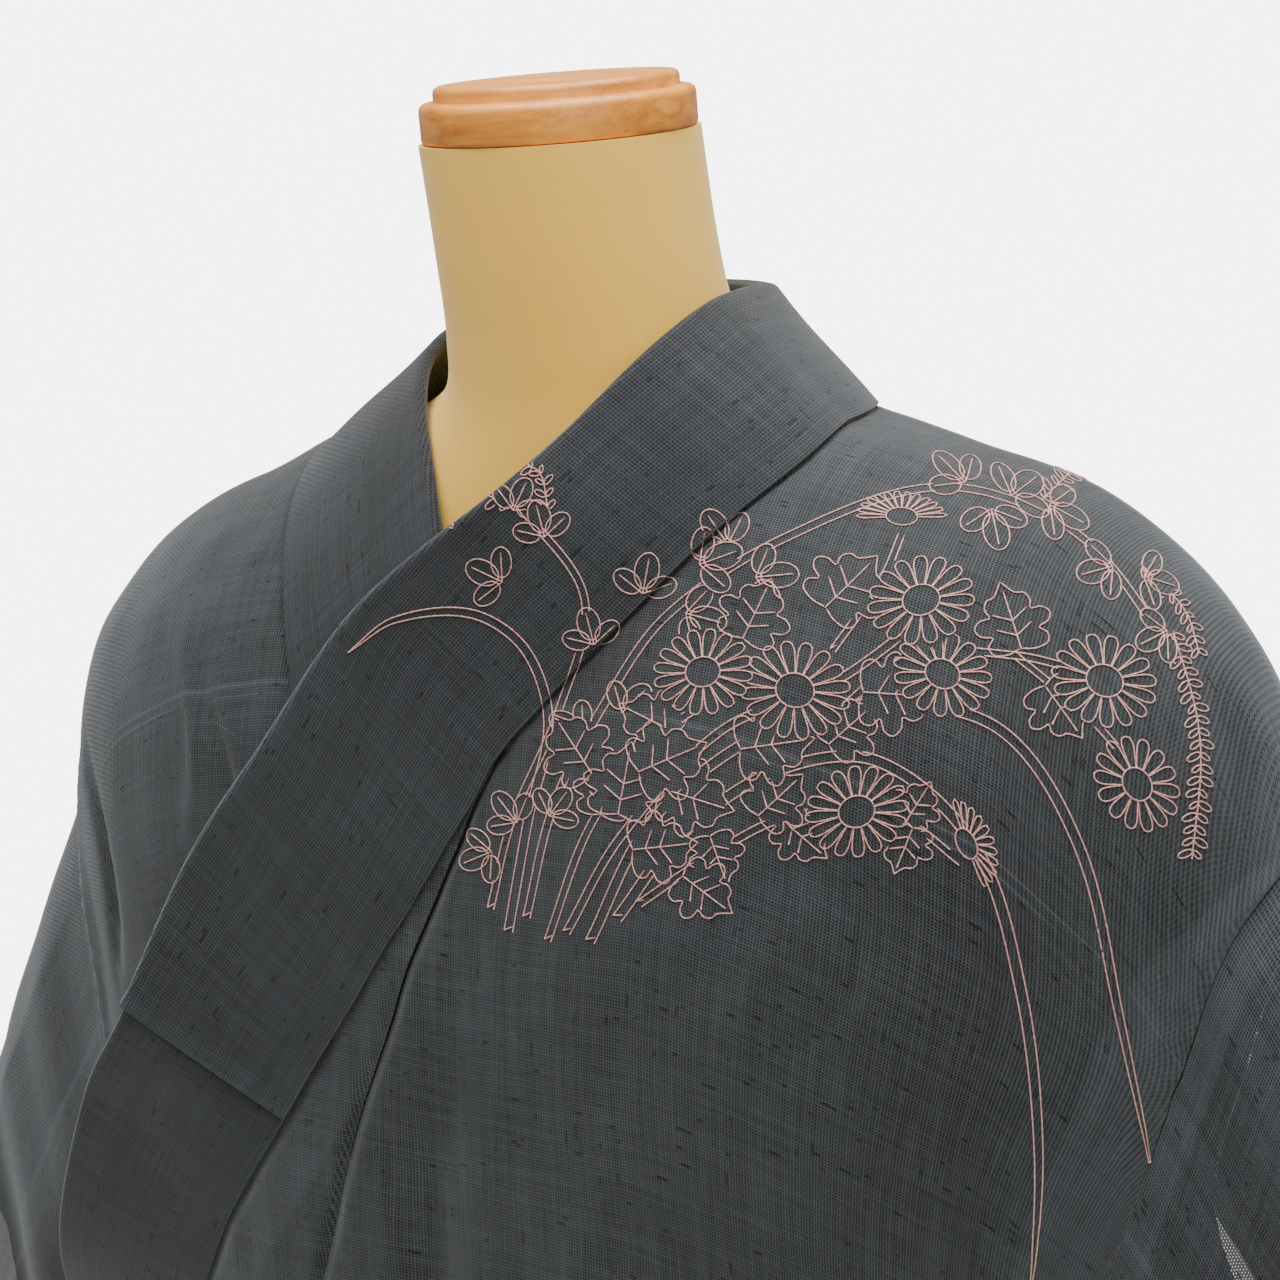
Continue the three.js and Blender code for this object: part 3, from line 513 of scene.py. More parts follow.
# angle and ring where a small crease starts and ends, half width and depth, out or in
CREASES = (
    (83, 1.55, 76, 2.35, 3.2, -1.6), (86, 1.75, 79, 2.7, 3.0, 1.3), (87, 2.1, 82, 3.0, 3.4, -1.4),
    (49, 4.1, 38, 4.7, 3.4, -1.5), (53, 4.5, 41, 5.2, 4.0, 1.4), (60, 4.9, 47, 5.6, 4.2, -1.5),
    (-75, 5.2, -66, 6.4, 5.0, -4.2), (-80, 5.6, -70, 7.2, 6.0, 3.0), (72, 5.3, 60, 7.4, 8.0, 2.6),
    (76, 5.6, 66, 8.4, 6.5, -3.2), (64, 5.9, 52, 8.2, 8.0, -2.4), (84, 4.6, 74, 6.0, 6.0, -2.0),
    (-58, 3.6, -49, 4.6, 4.0, -2.0), (-62, 3.5, -55, 4.9, 3.5, 1.5), (22, 5.6, 8, 7.6, 9.0, 2.0),
    (30, 6.4, 20, 8.6, 9.0, -2.4), (100, 5.2, 118, 6.8, 7.0, -2.6), (96, 5.8, 112, 7.9, 7.0, 2.2),
    (-100, 5.2, -120, 6.9, 7.0, -2.6), (-97, 5.9, -114, 8.0, 7.0, 2.2), (176, 1.6, 150, 3.4, 7.0, 1.0),
    (-172, 2.0, -148, 3.8, 7.0, -1.0), (150, 3.2, 165, 5.4, 8.0, -1.6), (-150, 3.4, -166, 5.8, 8.0, 1.6),
)
CREASE_STEPS = 20
CREASE_BEND = 3
CREASE_ENDS = (0.08, 0.84)
# height of a slow wave in the cloth, and its turn by angle and by ring, twice
WAVES = ((0.35, 0.31, 1.7, 0.05, 4.1), (0.25, 0.83, -2.9, 0.11, 2.3))
# over the top of the left shoulder the cloth is tight: its last ring and angles, its fade, how much flatter
TIGHT_RING = 4.5
TIGHT_ANGLES = (40, 140)
TIGHT_FADE = (1.5, 20)
TIGHT_SHARE = 0.6
SEAM_DIP = 2.5
SHOULDER_DIP = 1.0
COLLAR_DIP = 2.0
TUCK = 3.2
GORE_TUCK = 1.2
TUCK_START = 1.0
COLLAR_MARGIN = 0.1
DIP_GROWTH = 0.15
SIDE_CLOSING = 8.3
SEAM_REACH = 3.4
MOST_TRIMMED = 0.4
ALLOWANCE = 21
BODY_DEPTH = 125
NARROW = 40
ALLOWANCE_EDGE = 0.8
PANEL_COLUMNS = (96, 84)
CROWDING = 0.55
# first and last side ring of a stretch of rows, and how many it has
STRETCHES = (
    (NECK_RING, SLIT, 62), (SLIT, ARMHOLE_END, 44), (ARMHOLE_END, SIDE_SEAM, 30), (SIDE_SEAM, HEM, 60),
)
# how far below the shoulder the flattened cloth starts to change, and over how far
RIDGE_FADE = (150, 800)
DEPTH_FADE = (150, 300)
FLANK_FADE = (120, 150)
RIDGE_SHARE = 0.85
FLANK_START = 60
BEND = 1.1


def fold_depth(phi, w):
    depth = np.zeros(np.broadcast(phi, w).shape)
    for angle, lean, spread, deep, start, full in FOLDS:
        offset = wrapped(phi - angle - lean * (w - start))
        depth += deep * ease((w - start) / (full - start)) * np.exp(-((offset / spread) ** 2))
    return depth


def crease_depth(phi, w):
    """Small creases and the slight unevenness of hanging cloth."""
    point = skin(phi, w)
    depth = 0.0
    for high, by_angle, by_ring, angle_again, ring_again in WAVES:
        wave = high * np.sin(phi * by_angle + w * by_ring)
        depth = depth + wave * np.sin(w * ring_again + phi * angle_again)
    for from_phi, from_w, to_phi, to_w, spread, deep in CREASES:
        t = np.linspace(0, 1, CREASE_STEPS)
        bend = CREASE_BEND * np.sin(math.pi * t)
        line = skin(from_phi + (to_phi - from_phi) * t + bend, from_w + (to_w - from_w) * t)
        nearest = np.full(phi.shape, np.inf)
        taper = np.zeros(phi.shape)
        for share, place in zip(t, line):
            gap = np.linalg.norm(point - place, axis=-1)
            closer = gap < nearest
            nearest = np.where(closer, gap, nearest)
            taper = np.where(closer, math.sin(math.pi * (CREASE_ENDS[0] + CREASE_ENDS[1] * share)), taper)
        depth = depth + deep * taper * np.exp(-((nearest / spread) ** 2))
    (fore, aft), (rings, degrees) = TIGHT_ANGLES, TIGHT_FADE
    tight = ease((TIGHT_RING - w) / rings) * ease((phi - fore) / degrees) * ease((aft - phi) / degrees)
    return depth * (1 - TIGHT_SHARE * tight)


def cloth(phi, w, lift):
    phi, w = np.broadcast_arrays(np.asarray(phi, float), np.asarray(w, float))
    depth = lift + fold_depth(phi, w)
    return skin(phi, w) + outward(phi, w) * depth[..., None]


def panel_lift(side, phi, w):
    """How far the outer face of a side's cloth stands off, at an angle toward its own side."""
    if side < 0:
        return np.zeros(np.broadcast(phi, w).shape)
    whole, none = follow(LIFTED, w)
    return OVERLAP * ease((none - phi) / (none - whole))


def side_angle(out):
    return np.where(out <= SLIT, 90.0, follow(ARMHOLE, out)[0])


def levels():
    """The side rings of a panel's rows: close together where it is seen best."""
    rows = [np.linspace(first, last, count, endpoint=False) for first, last, count in STRETCHES]
    return np.concatenate(rows + [[HEM]])


def columns(count):
    """Shares across a panel, closer together at its seams."""
    t = np.linspace(0, 1, count)
    return t - CROWDING * np.sin(2 * math.pi * t) / (2 * math.pi)


RIDGE = np.array([(half, side) for _, half, _, _, side, _, _, _ in RINGS[:7]], float)


def below(fall, fade):
    return ease((fall - fade[0]) / fade[1])


def grain(side, point):
    """Where a point lies in the flat cloth: across it, and along it from the shoulder fold."""
    across, ahead = side * point[..., 0], np.abs(point[..., 1])
    height = point[..., 2] - SHOULDER
    ridge = np.interp(across, RIDGE[:, 0], RIDGE[:, 1]) * (1 - RIDGE_SHARE * below(-height, RIDGE_FADE))
    fall = np.maximum(ridge - height, 0)
    flank = below(fall, FLANK_FADE) * np.maximum(BODY_DEPTH - ahead, 0)
    ahead = ahead + (BODY_DEPTH - ahead) * below(fall, DEPTH_FADE)
    along = (ahead**BEND + fall**BEND) ** (1 / BEND) * np.where(point[..., 1] < 0, 1, -1)
    return np.stack([across + flank * np.clip(across / FLANK_START, -1, 1), along], axis=-1)


def panel_grid(side, from_phi, from_w, to_phi, to_w, shares, seams, dips, tucks=(0, 0)):
    """Outer and inner points, grain and doubled share of the cloth between two edges, row by row."""
    start = cloth(side * from_phi, from_w, 0)
    end = cloth(side * to_phi, to_w, 0)
    width = np.maximum(np.linalg.norm(end - start, axis=-1), 1e-3)[:, None]
    trim = np.minimum(SEAM / 2 / width, MOST_TRIMMED)
    low, high = trim * seams[0] - tucks[0] / width, 1 - trim * seams[1] + tucks[1] / width
    t = low + (high - low) * shares
    t = np.where(width > 1, t, shares)
    phi = from_phi[:, None] + (to_phi - from_phi)[:, None] * t
    w = from_w[:, None] + (to_w - from_w)[:, None] * t
    dip = np.zeros(phi.shape)
    for deep, gap in zip(dips, (t * width, (1 - t) * width)):
        dip -= deep * np.exp(-((gap / SEAM_REACH) ** 2)) * ease(width / NARROW)
    lift = panel_lift(side, phi, w) + dip + crease_depth(side * phi, w)
    outer = cloth(side * phi, w, lift)
    inner = cloth(side * phi, w, lift - THICKNESS)
    past = np.maximum((1 - t) * width - ALLOWANCE, 0)
    doubled = np.exp(-((past / ALLOWANCE_EDGE) ** 2)) * seams[1] * ease(width / NARROW)
    return outer, inner, grain(side, outer), doubled


WARP_PITCH = 1.15
WEFT_PITCH = 1.2
# how fast a yarn changes along its length, and where the change starts to show and shows fully
WEFT_SLUB = (0.11, 0.74, 0.80)
WARP_SLUB = (0.07, 0.76, 0.82)
YARN = (0.02, 0.25, 0.75)
PALE_YARN = (0.012, 0.40, 0.5)
PALE_GROUPS = (0.64, 0.68)
PALE_CHOSEN = (0.55, 0.6)
WARP_SLUB_SHARE = 0.6
STREAK_LENGTH = 3.17
GROUP_SPACING = 0.024
GROUP_START = 4.3
WARP_GAP = (0.30, 0.44)
WEFT_GAP = (0.26, 0.40)
# what each lightens or darkens; the relief's share is painted shade between the yarns and painted light on
# their crowns
RELIEF_PAINTED_SHADE, YARN_TONE, PATCH_TONE, DOUBLED_TONE_AND_HIGHLIGHT = 0.95, 0.33, 0.35, 0.14
PALE_TONE, SLUB_TONE, DARKNESS = 0.32, 0.42, 0.52


def sheer_cloth(name, shade, light, open_share):
    """Plain weave of uneven yarn: dark slubs along the weft, pale weft lines in groups, gaps between, and
    painted shade in the dips between the yarns.
    """
    made, start = material(name)
    flat = start.node("UVMap", {"uv_map": "grain"})
    across = flat.node("SeparateXYZ", sockets={"Vector": flat})
    along = Socket(flat.tree, across.end.node.outputs[1])
    warp_count, weft_count = across * (1 / WARP_PITCH), along * (1 / WEFT_PITCH)
    warp_number, weft_number = warp_count.floor(), weft_count.floor()
    warp = 1 - abs(warp_count - warp_number - 0.5) * 2
    weft = 1 - abs(weft_count - weft_number - 0.5) * 2
    on_top = (warp_number + weft_number) % 2
    relief = (warp * (on_top * 0.5 + 0.5)).larger(weft * (1 - on_top * 0.5))

    def streak(one, other, scale, low, high):
        place = one.node("CombineXYZ", sockets={"X": one * scale, "Y": other * STREAK_LENGTH})
        return place.noise(1.0, 1.0, {"noise_dimensions": "2D"}).step(low, high)

    weft_slub = streak(across, weft_number, *WEFT_SLUB)
    slub = weft_slub.larger(streak(along, warp_number, *WARP_SLUB) * WARP_SLUB_SHARE)
    yarn = streak(across, weft_number, *YARN) * 0.5 + streak(along, warp_number, *YARN) * 0.5
    one_line = {"noise_dimensions": "1D"}
    along_groups = weft_number * GROUP_SPACING + GROUP_START
    groups = weft_number.node("TexNoise", one_line, {"W": along_groups, "Scale": 1.0})
    chosen = weft_number.node("TexWhiteNoise", one_line, {"W": weft_number})
    pale = groups.step(*PALE_GROUPS) * chosen.step(*PALE_CHOSEN) * streak(across, weft_number, *PALE_YARN)
    patches = flat.noise(0.013, 3.0)
    # where the cloth lies double it is painted lighter: partly the second layer's own look, partly a painted
    # highlight on turned edges
    doubled = flat.node("Attribute", {"attribute_name": "doubled"}, output=2)
    # painted shade and light: the yarns' crowns lighter and the dips between them darker, from the weave's
    # relief
    tone = relief * RELIEF_PAINTED_SHADE + yarn * YARN_TONE + patches * PATCH_TONE + doubled * DOUBLED_TONE_AND_HIGHLIGHT - DARKNESS
    tone = tone + pale * PALE_TONE - slub * SLUB_TONE
    bump = (relief + slub * 0.8).raised(0.6, 0.00025)
    sockets = {"Roughness": 0.82, "Specular IOR Level": 0.25, "Sheen Weight": 0.3, "Sheen Roughness": 0.45}
    sockets |= {"Sheen Tint": (0.76, 0.79, 0.82, 1), "Normal": bump}
    sockets["Base Color"] = blend(tone.step(0.0, 1.0), shade, light)
    if open_share:
        gap = (1 - warp.step(*WARP_GAP)) * (1 - weft.step(*WEFT_GAP)) * (1 - slub)
        sockets["Alpha"] = 1 - open_share * (1 - doubled * 0.6) * (gap * 0.85 + 0.15)
    return finished(made, start, sockets)


PANEL_SHADE = (0.006, 0.0066, 0.0073, 1)
PANEL_LIGHT = (0.086, 0.093, 0.099, 1)
PANEL_OPEN = 0.48
panel_paint = sheer_cloth("kimono_cloth", PANEL_SHADE, PANEL_LIGHT, PANEL_OPEN)


def body_panel(side, name):
    out = levels()
    from_phi, from_w = follow(FRONTS[side], out)
    from_phi[0], from_w[0] = 90, NECK_RING
    edge = side_angle(out)
    cut = (out > SLIT).astype(float)[:, None]
    edge_dip = SEAM_DIP * ease((out[:, None] - SLIT) / DIP_GROWTH)
    beside_collar = (out < GORE_POINT - COLLAR_MARGIN)[:, None]
    dips = (np.where(beside_collar, SHOULDER_DIP, SEAM_DIP), edge_dip)
    tuck = np.where(beside_collar & (out[:, None] > TUCK_START), TUCK, 0.0)
    shell = Shell()
    fore, aft = (columns(count) for count in PANEL_COLUMNS)
    shell.add(*panel_grid(side, from_phi, from_w, edge, out, fore, (1, cut), dips, (tuck, 0)))
    closing = ease((out - SIDE_CLOSING) / (SIDE_SEAM - SIDE_CLOSING))
    back_edge = np.where(out > SLIT, 180 - edge, 90)
    back_edge = back_edge + (edge - back_edge) * closing
    middle = np.full(len(out), 180.0)
    grids = panel_grid(side, middle, out, back_edge, out, aft, (1, cut), (SEAM_DIP, edge_dip))
    shell.add(*(grid[:, ::-1] for grid in grids))
    made = put(shell.mesh(name + "_cloth", panel_paint), "kimono_cloth", name)


for side, name in ((1, "body_left"), (-1, "body_right")):
    body_panel(side, name)

# The two gores: narrow strips of the same cloth, pointed at the top, sewn between each front panel and the
# collar. Their inner edge hangs free under the collar's end, with a narrow turned hem.
BAND_END = 10
GORES = {
    1: (
        (3.6, 3, 1.7), (4.2, -9, 2.5), (4.8, -18, 3.45), (5.3, -24.5, 4.3), (5.55, -30, 5),
        (6.3, -38.5, 6.05), (7, -47.5, 6.95), (8, -56, 8), (9, -62, 9), (10, -66, 10),
        (11.5, -66, 11.5), (13, -64, 13),
    ),
    -1: (
        (3.6, 42.5, 3.07), (4.2, 38, 3.8), (4.8, 33, 4.5), (5.3, 28, 5.1), (5.55, 25, 5.4), (6.3, 16, 6.2),
        (7, 7, 7), (8, -5, 8), (9, -21, 9), (10, -36, 10), (11.5, -40, 11.5), (13, -44, 13),
    ),
}
GORE_MARGIN = 0.3
GORE_COLUMNS = 40


def gore(side, name):
    out = levels()
    out = np.concatenate([[GORE_POINT], out[out > GORE_POINT]])
    seam, edge = follow(FRONTS[side], out), follow(GORES[side], out)
    collared = (out <= BAND_END).astype(float)[:, None]
    tuck = GORE_TUCK * collared * (out > GORE_POINT + GORE_MARGIN)[:, None]
    shell = Shell()
    sewn, dips = (1, collared), (SEAM_DIP, COLLAR_DIP * collared)
    shell.add(*panel_grid(side, *seam, *edge, columns(GORE_COLUMNS), sewn, dips, (0, tuck)))
    made = put(shell.mesh(name + "_cloth", panel_paint), "kimono_cloth", name)


for side, name in ((-1, "okumi_right"), (1, "okumi_left")):
    gore(side, name)

# The two sleeves: each one width of the cloth folded at the shoulder line, sewn to the body down the
# armhole, closed along the bottom and up the outer edge as far as the hand's opening, and open behind.
SLEEVE_DROP = 490
SLEEVE_SEWN = 230
CUFF_TOP = (428, -412)
CUFF_BOTTOM = 420
CUFF_GAPE = (18, 3.6)
CUFF_TURN = 60
CUFF_CROWN = 12
SLEEVE_SWELL = 18
SWELL_START = 70
SLEEVE_PUCKER = (15, 2.5)
SLEEVE_RIPPLE = (5, 4.5)
RIPPLE_LEAN = (1.4, 3.3)
RIPPLE_TOP = 0.3
SLEEVE_CROWDING = 1.15
SLEEVE_GRAIN = 400
SLEEVE_ALLOWANCE = 14
INNER_EDGE = (284, 54)
SLEEVE_ACROSS = 90
SLEEVE_DOWN = 110


def lerp(a, b, t):
    return a + (b - a) * t


def sleeve(side, name):
    down = SLEEVE_DROP * np.linspace(0, 1, SLEEVE_DOWN) ** SLEEVE_CROWDING
    down[np.argmin(np.abs(down - SLEEVE_SEWN))] = SLEEVE_SEWN
    drop = np.concatenate([down, down[-2::-1]])
    face = np.concatenate([np.ones(len(down)), -np.ones(len(down) - 1)])
    out = lerp(SLIT, ARMHOLE_END, np.minimum(drop, SLEEVE_SEWN) / SLEEVE_SEWN)
    phi = np.where(face > 0, side_angle(out), 180 - side_angle(out))
    sunk = crease_depth(side * phi, out) - SEAM_DIP * ease((out - SLIT) / DIP_GROWTH)
    seam = cloth(side * phi, out, panel_lift(side, phi, out) + sunk)
    hanging = np.clip((drop - SLEEVE_SEWN) / (SLEEVE_DROP - SLEEVE_SEWN), 0, 1)
    swing = 1 - (1 - hanging) ** 3
    x, y = INNER_EDGE
    inner = np.stack([
        lerp(seam[:, 0], side * x, swing), lerp(seam[:, 1], -face * y, swing),
        seam[:, 2] - hanging * (SLEEVE_DROP - SLEEVE_SEWN),
    ], axis=-1)
    fall = drop / SLEEVE_DROP
    closing = ease((drop - SLEEVE_SEWN + CUFF_TURN) / CUFF_TURN)
    gape = lerp(*CUFF_GAPE, closing) * np.minimum(1, np.sqrt(fall * CUFF_CROWN))
    cuff = np.stack([
        side * lerp(CUFF_TOP[0], CUFF_BOTTOM, fall), -face * gape, SHOULDER + CUFF_TOP[1] - drop,
    ], axis=-1)
    across = np.linspace(0, 1, SLEEVE_ACROSS)[:, None]
    outer = lerp(inner[None], cuff[None], across[..., None])
    swell = np.sin(math.pi * across) * np.minimum(1, drop / SWELL_START)
    folds = SLEEVE_PUCKER[0] * np.sin(2 * math.pi * SLEEVE_PUCKER[1] * across) * fall
    lean = RIPPLE_LEAN[0] * np.sin(RIPPLE_LEAN[1] * fall + side)
    ripple = np.sin(2 * math.pi * SLEEVE_RIPPLE[1] * across + lean) * SLEEVE_RIPPLE[0]
    outer[..., 1] += swell * (folds - face * SLEEVE_SWELL + ripple * lerp(RIPPLE_TOP, 1, fall))
    outer[0] += unit(outer[1] - outer[0]) * SEAM
    around = np.roll(outer, -1, axis=1) - np.roll(outer, 1, axis=1)
    onward = np.gradient(outer, axis=0)
    normal = unit(np.cross(around, onward)) * side
    thin = outer - normal * THICKNESS
    weft = np.linalg.norm(np.diff(outer, axis=0, prepend=outer[:1]), axis=-1).cumsum(axis=0)
    flat = np.stack([weft + SLEEVE_GRAIN, np.broadcast_to(-face * drop, weft.shape)], axis=-1)
    past = np.maximum(weft - SLEEVE_ALLOWANCE, 0)
    doubled = np.exp(-((past / ALLOWANCE_EDGE) ** 2)) * (drop < SLEEVE_SEWN)
    closed = [np.concatenate([grid, grid[:, :1]], axis=1) for grid in (outer, thin, flat, doubled)]
    shell = Shell()
    shell.add(*closed)
    front = np.arange(np.argmax(down >= SLEEVE_SEWN), len(down))
    strip = np.stack([np.where(front > 0, len(drop) - front, 0), front], axis=1)
    shell.add(outer[-1][strip], thin[-1][strip], flat[-1][strip])
    made = put(shell.mesh(name + "_cloth", sleeve_paint), "kimono_cloth", name)


SLEEVE_OPEN = 0.5
sleeve_paint = sheer_cloth("sleeve_cloth", PANEL_SHADE, PANEL_LIGHT, SLEEVE_OPEN)
for side, name in ((1, "sleeve_left"), (-1, "sleeve_right")):
    sleeve(side, name)

# The collar band: a long strip of the same cloth folded double, sewn round the neck and down both fronts.
# The fold is its free edge; it stands off the neck behind and crosses low on the chest.
BAND = 3.0
BAND_GAP = 0.4
BAND_TOP = 0.86
BAND_COLUMNS = 22
FOLD_STEPS = 7
# along the seam from the middle of the back neck; where the free edge lies; kept out, laid down
EDGES = {
    1: (
        (0, 0, 70, 36, 0, 0), (45, 32, 60, 37, 0, 0), (94, 54, 38, 39, 0, 0), (134, 58, 14, 42, 0, 0),
        (160, 60, -18, 41, 0, 0), (188, 52, -46, 29, 0, 0), (229, 29, -69, 3, 0, 0), (262, 8, -85, -16, 0, 0),
        (306, -26, -94, -40, 0.5, 0), (343, -50, -102, -62, 1, 0), (404, -80, -118, -105, 1, 0),
        (458, -112, -130, -149, 1, 0), (514, -148, -142, -214, 1, 0), (564, -176, -140, -252, 1, 0),
        (620, -212, -132, -322, 1, 0), (678, -234, -112, -376, 1, 0), (787, -246, -74, -490, 1, 0),
        (934, -238, -48, -642, 1, 0),
    ),
    -1: (
        (0, 0, 70, 36, 0, 0), (45, 32, 60, 37, 0, 0), (94, 56, 38, 35, 0, 0), (134, 63, 18, 31, 0, 0),
        (160, 67, -2, 27, 0, 0), (190, 65, -20, 19, 0, 0), (222, 56, -37, 5, 0, 0), (250, 45, -50, -12, 0, 0),
        (285, 31, -65, -42, 0, 0.2), (320, 14, -76, -74, 0.6, 0.8), (352, -2, -86, -104, 1, 1),
        (409, -22, -100, -165, 1, 1), (524, -46, -117, -290, 1, 1), (585, -64, -120, -352, 1, 1),
        (667, -90, -120, -436, 1, 1), (762, -125, -112, -526, 1, 1), (894, -158, -98, -660, 1, 1),
    ),
}
SEAM_ROWS = (46, 84, 150)
BAND_CLEAR = 0.5
HALVINGS = 24
# height of a slow wave in the band, its length along it divided by 2 pi, and its lean
BAND_WAVES = ((0.45, 37, 3), (0.3, 14.3, 5))


def collar_seam(side):
    """Angle and ring of the seam from the middle of the back neck to the band's end, and its side ring."""
    behind = np.linspace(180, 90, SEAM_ROWS[0])[:-1]
    high = np.linspace(BAND_TOP, GORE_POINT, SEAM_ROWS[1])[:-1]
    low = np.linspace(GORE_POINT, BAND_END, SEAM_ROWS[2])
    upper, lower = follow(FRONTS[side], high), follow(GORES[side], low)
    phi = np.concatenate([behind, upper[0], lower[0]])
    w = np.concatenate([np.full(len(behind), BAND_TOP), upper[1], lower[1]])
    return phi, w, np.concatenate([np.zeros(len(behind)), high, low])


def rest_on_body(point, lift, clear, cling):
    """Moves points level with themselves toward the body's surface: out where they sink in, by the share
    clear, and in where they stand off, by the share cling."""
    phi = np.degrees(np.arctan2(point[..., 0], -point[..., 1]))
    high, low = np.zeros(phi.shape), np.full(phi.shape, float(HEM))
    for _ in range(HALVINGS):
        w = (high + low) / 2
        above = cloth(phi, w, lift)[..., 2] > point[..., 2]
        high, low = np.where(above, w, high), np.where(above, low, w)
    body = cloth(phi, (high + low) / 2, lift)
    reach = np.hypot(point[..., 0], point[..., 1])
    short = np.hypot(body[..., 0], body[..., 1]) - reach
    push = 1 + short * np.where(short > 0, clear, cling) / np.maximum(reach, 1)
    return point * np.stack([push, push, np.ones(push.shape)], axis=-1)


def band_rows(side):
    phi, w, out = collar_seam(side)
    seam = cloth(side * phi, w, panel_lift(side, phi, w) + BAND_CLEAR)
    along = np.linalg.norm(np.diff(seam, axis=0, prepend=seam[:1]), axis=-1).cumsum()
    x, y, z, clear, cling = follow(EDGES[side], along)
    free = np.stack([side * x, y, SHOULDER + z], axis=-1)
    start = BAND_GAP / np.linalg.norm(free - seam, axis=-1)
    t = start[:, None] + (1 - start[:, None]) * np.linspace(0, 1, BAND_COLUMNS)
    straight = lerp(seam[:, None], free[:, None], t[..., None])
    lift = BAND_CLEAR + (OVERLAP if side > 0 else 0)
    moved = rest_on_body(straight, lift, clear[:, None], cling[:, None])
    moved[:, 0] = straight[:, 0]
    return moved, along * side, out


def band_section(outer_lift, inner_lift):
    """Places round the band's section, from its seam out to the fold and back inside, standing off it."""
    rows, normal, edge = band_points, band_normals, band_normals[:, -1:]
    side_out = rows[:, :-1] + normal[:, :-1] * outer_lift
    toward = unit(rows[:, -1:] - rows[:, -2:-1])
    centre = rows[:, -1:] - edge * BAND / 2 - toward * BAND / 2
    turn = np.linspace(0, math.pi, FOLD_STEPS)[None, :, None]
    radius = BAND / 2 + np.where(turn < math.pi / 2, outer_lift, inner_lift)
    round_edge = centre + radius * (np.cos(turn) * edge + np.sin(turn) * toward)
    puff = BAND + inner_lift
    side_in = (rows[:, :-1] - normal[:, :-1] * puff)[:, ::-1]
    return np.concatenate([side_out, round_edge, side_in], axis=1)


halves = zip(band_rows(1), band_rows(-1))
band_points, band_along, band_out = (np.concatenate([left[::-1], right[1:]]) for left, right in halves)
gradient_along, gradient_across = np.gradient(band_points, axis=0), np.gradient(band_points, axis=1)
band_normals = unit(np.cross(gradient_along, gradient_across))
band_share = np.linspace(0, 1, BAND_COLUMNS)
unevenness = 0.0
for high, length, lean in BAND_WAVES:
    wave = high * np.sin(band_along[:, None] / length + lean * band_share)
    unevenness = unevenness + wave * np.sin(math.pi * band_share)
band_points = band_points + band_normals * unevenness[..., None]


def section_grain(section):
    """Grain across the section and along the band."""
    width = np.linalg.norm(np.diff(section, axis=1, prepend=section[:, :1]), axis=-1).cumsum(axis=1)
    return np.stack([np.broadcast_to(band_along[:, None], width.shape), width], axis=-1)


# the collar and cover collar are the same cloth as the body, painted darker as painted shade
COLLAR_LIGHT_WITH_PAINTED_SHADE = (0.068, 0.074, 0.080, 1)
collar_paint = sheer_cloth("collar_cloth", PANEL_SHADE, COLLAR_LIGHT_WITH_PAINTED_SHADE, 0)
section = band_section(0, 0)
flat = section_grain(section)
closed = np.concatenate([section, section[:, :1]], axis=1)
band_shell = Shell()
band_shell.add(closed, uv=np.concatenate([flat, flat[:, -1:]], axis=1))
half_way = section.shape[1] // 2
for end, turn in ((0, -1), (-1, 1)):
    rows, weave = (
        np.stack([grid[end][:half_way], grid[end][::-1][:half_way]], axis=1)[:, ::turn]
        for grid in (section, flat)
    )
    band_shell.add(rows, uv=weave)
band = put(band_shell.mesh("eri_cloth", collar_paint, walled=False), "collar_cloth", "eri")

# The cover collar: a shorter strip of the same cloth laid over the collar from one front round to the
# other and over its folded edge, to take the wear. Its ends are turned under and sewn down.
COVER = 1.0
COVER_END = 6.15
COVER_INSIDE = 7
COVER_HUG = 0.8
COVER_GRAIN = 40
END_TURN = 0.9
END_WIDTH = 5
END_DOUBLED = 6

covering = np.flatnonzero(band_out <= COVER_END)
over = band_section(SEAM + COVER, SEAM + COVER * COVER_HUG)[covering]
under = band_section(SEAM, SEAM)[covering]
reach = BAND_COLUMNS - 1 + FOLD_STEPS + COVER_INSIDE
run = band_along[covering]
end_gap = np.minimum(np.abs(run - run[0]), np.abs(run - run[-1]))
turned_edge = END_TURN * np.exp(-((end_gap / END_WIDTH) ** 2))
over = over + unit(over - under) * turned_edge[:, None, None]
cover_shell = Shell()
# the turned-under ends lie double, so the cloth paints them lighter: partly the second layer, partly a
# painted highlight along the turned edge
doubled_end = np.exp(-((end_gap / END_DOUBLED) ** 2))[:, None]
doubled_end = np.broadcast_to(doubled_end, (len(covering), reach))
cover_shell.add(over[:, :reach], under[:, :reach], flat[covering, :reach] + COVER_GRAIN, doubled_end)
cover = put(cover_shell.mesh("tomoeri_cloth", collar_paint), "collar_cloth", "tomoeri")

# The embroidery: one sprig of autumn plants outlined in rose-pink silk thread, from the collar down over
# the left breast. Chrysanthemums, bush clover and long grass blades rise from a bundle of cut stems.
THREAD = 0.27
THREAD_RAISED = 0.25
STITCH = 1.25
# in metres, from the foot: where the drawing starts; then its two directions
SPRAY_ORIGIN = Vector((0.041, -0.1226, 1.386))
SPRAY_RIGHT = Vector((0.829, 0.559, 0.0))
SPRAY_UP = Vector((-0.151, 0.225, 0.963))
# in metres: where two places of a line are further apart than this, the thread is cut
THREAD_JUMP = 0.009
THREAD_SIDES = 5
THREAD_FLATNESS = 0.8
# a twisted thread is thick and thin by turns
TWIST = (0.78, 1.12)
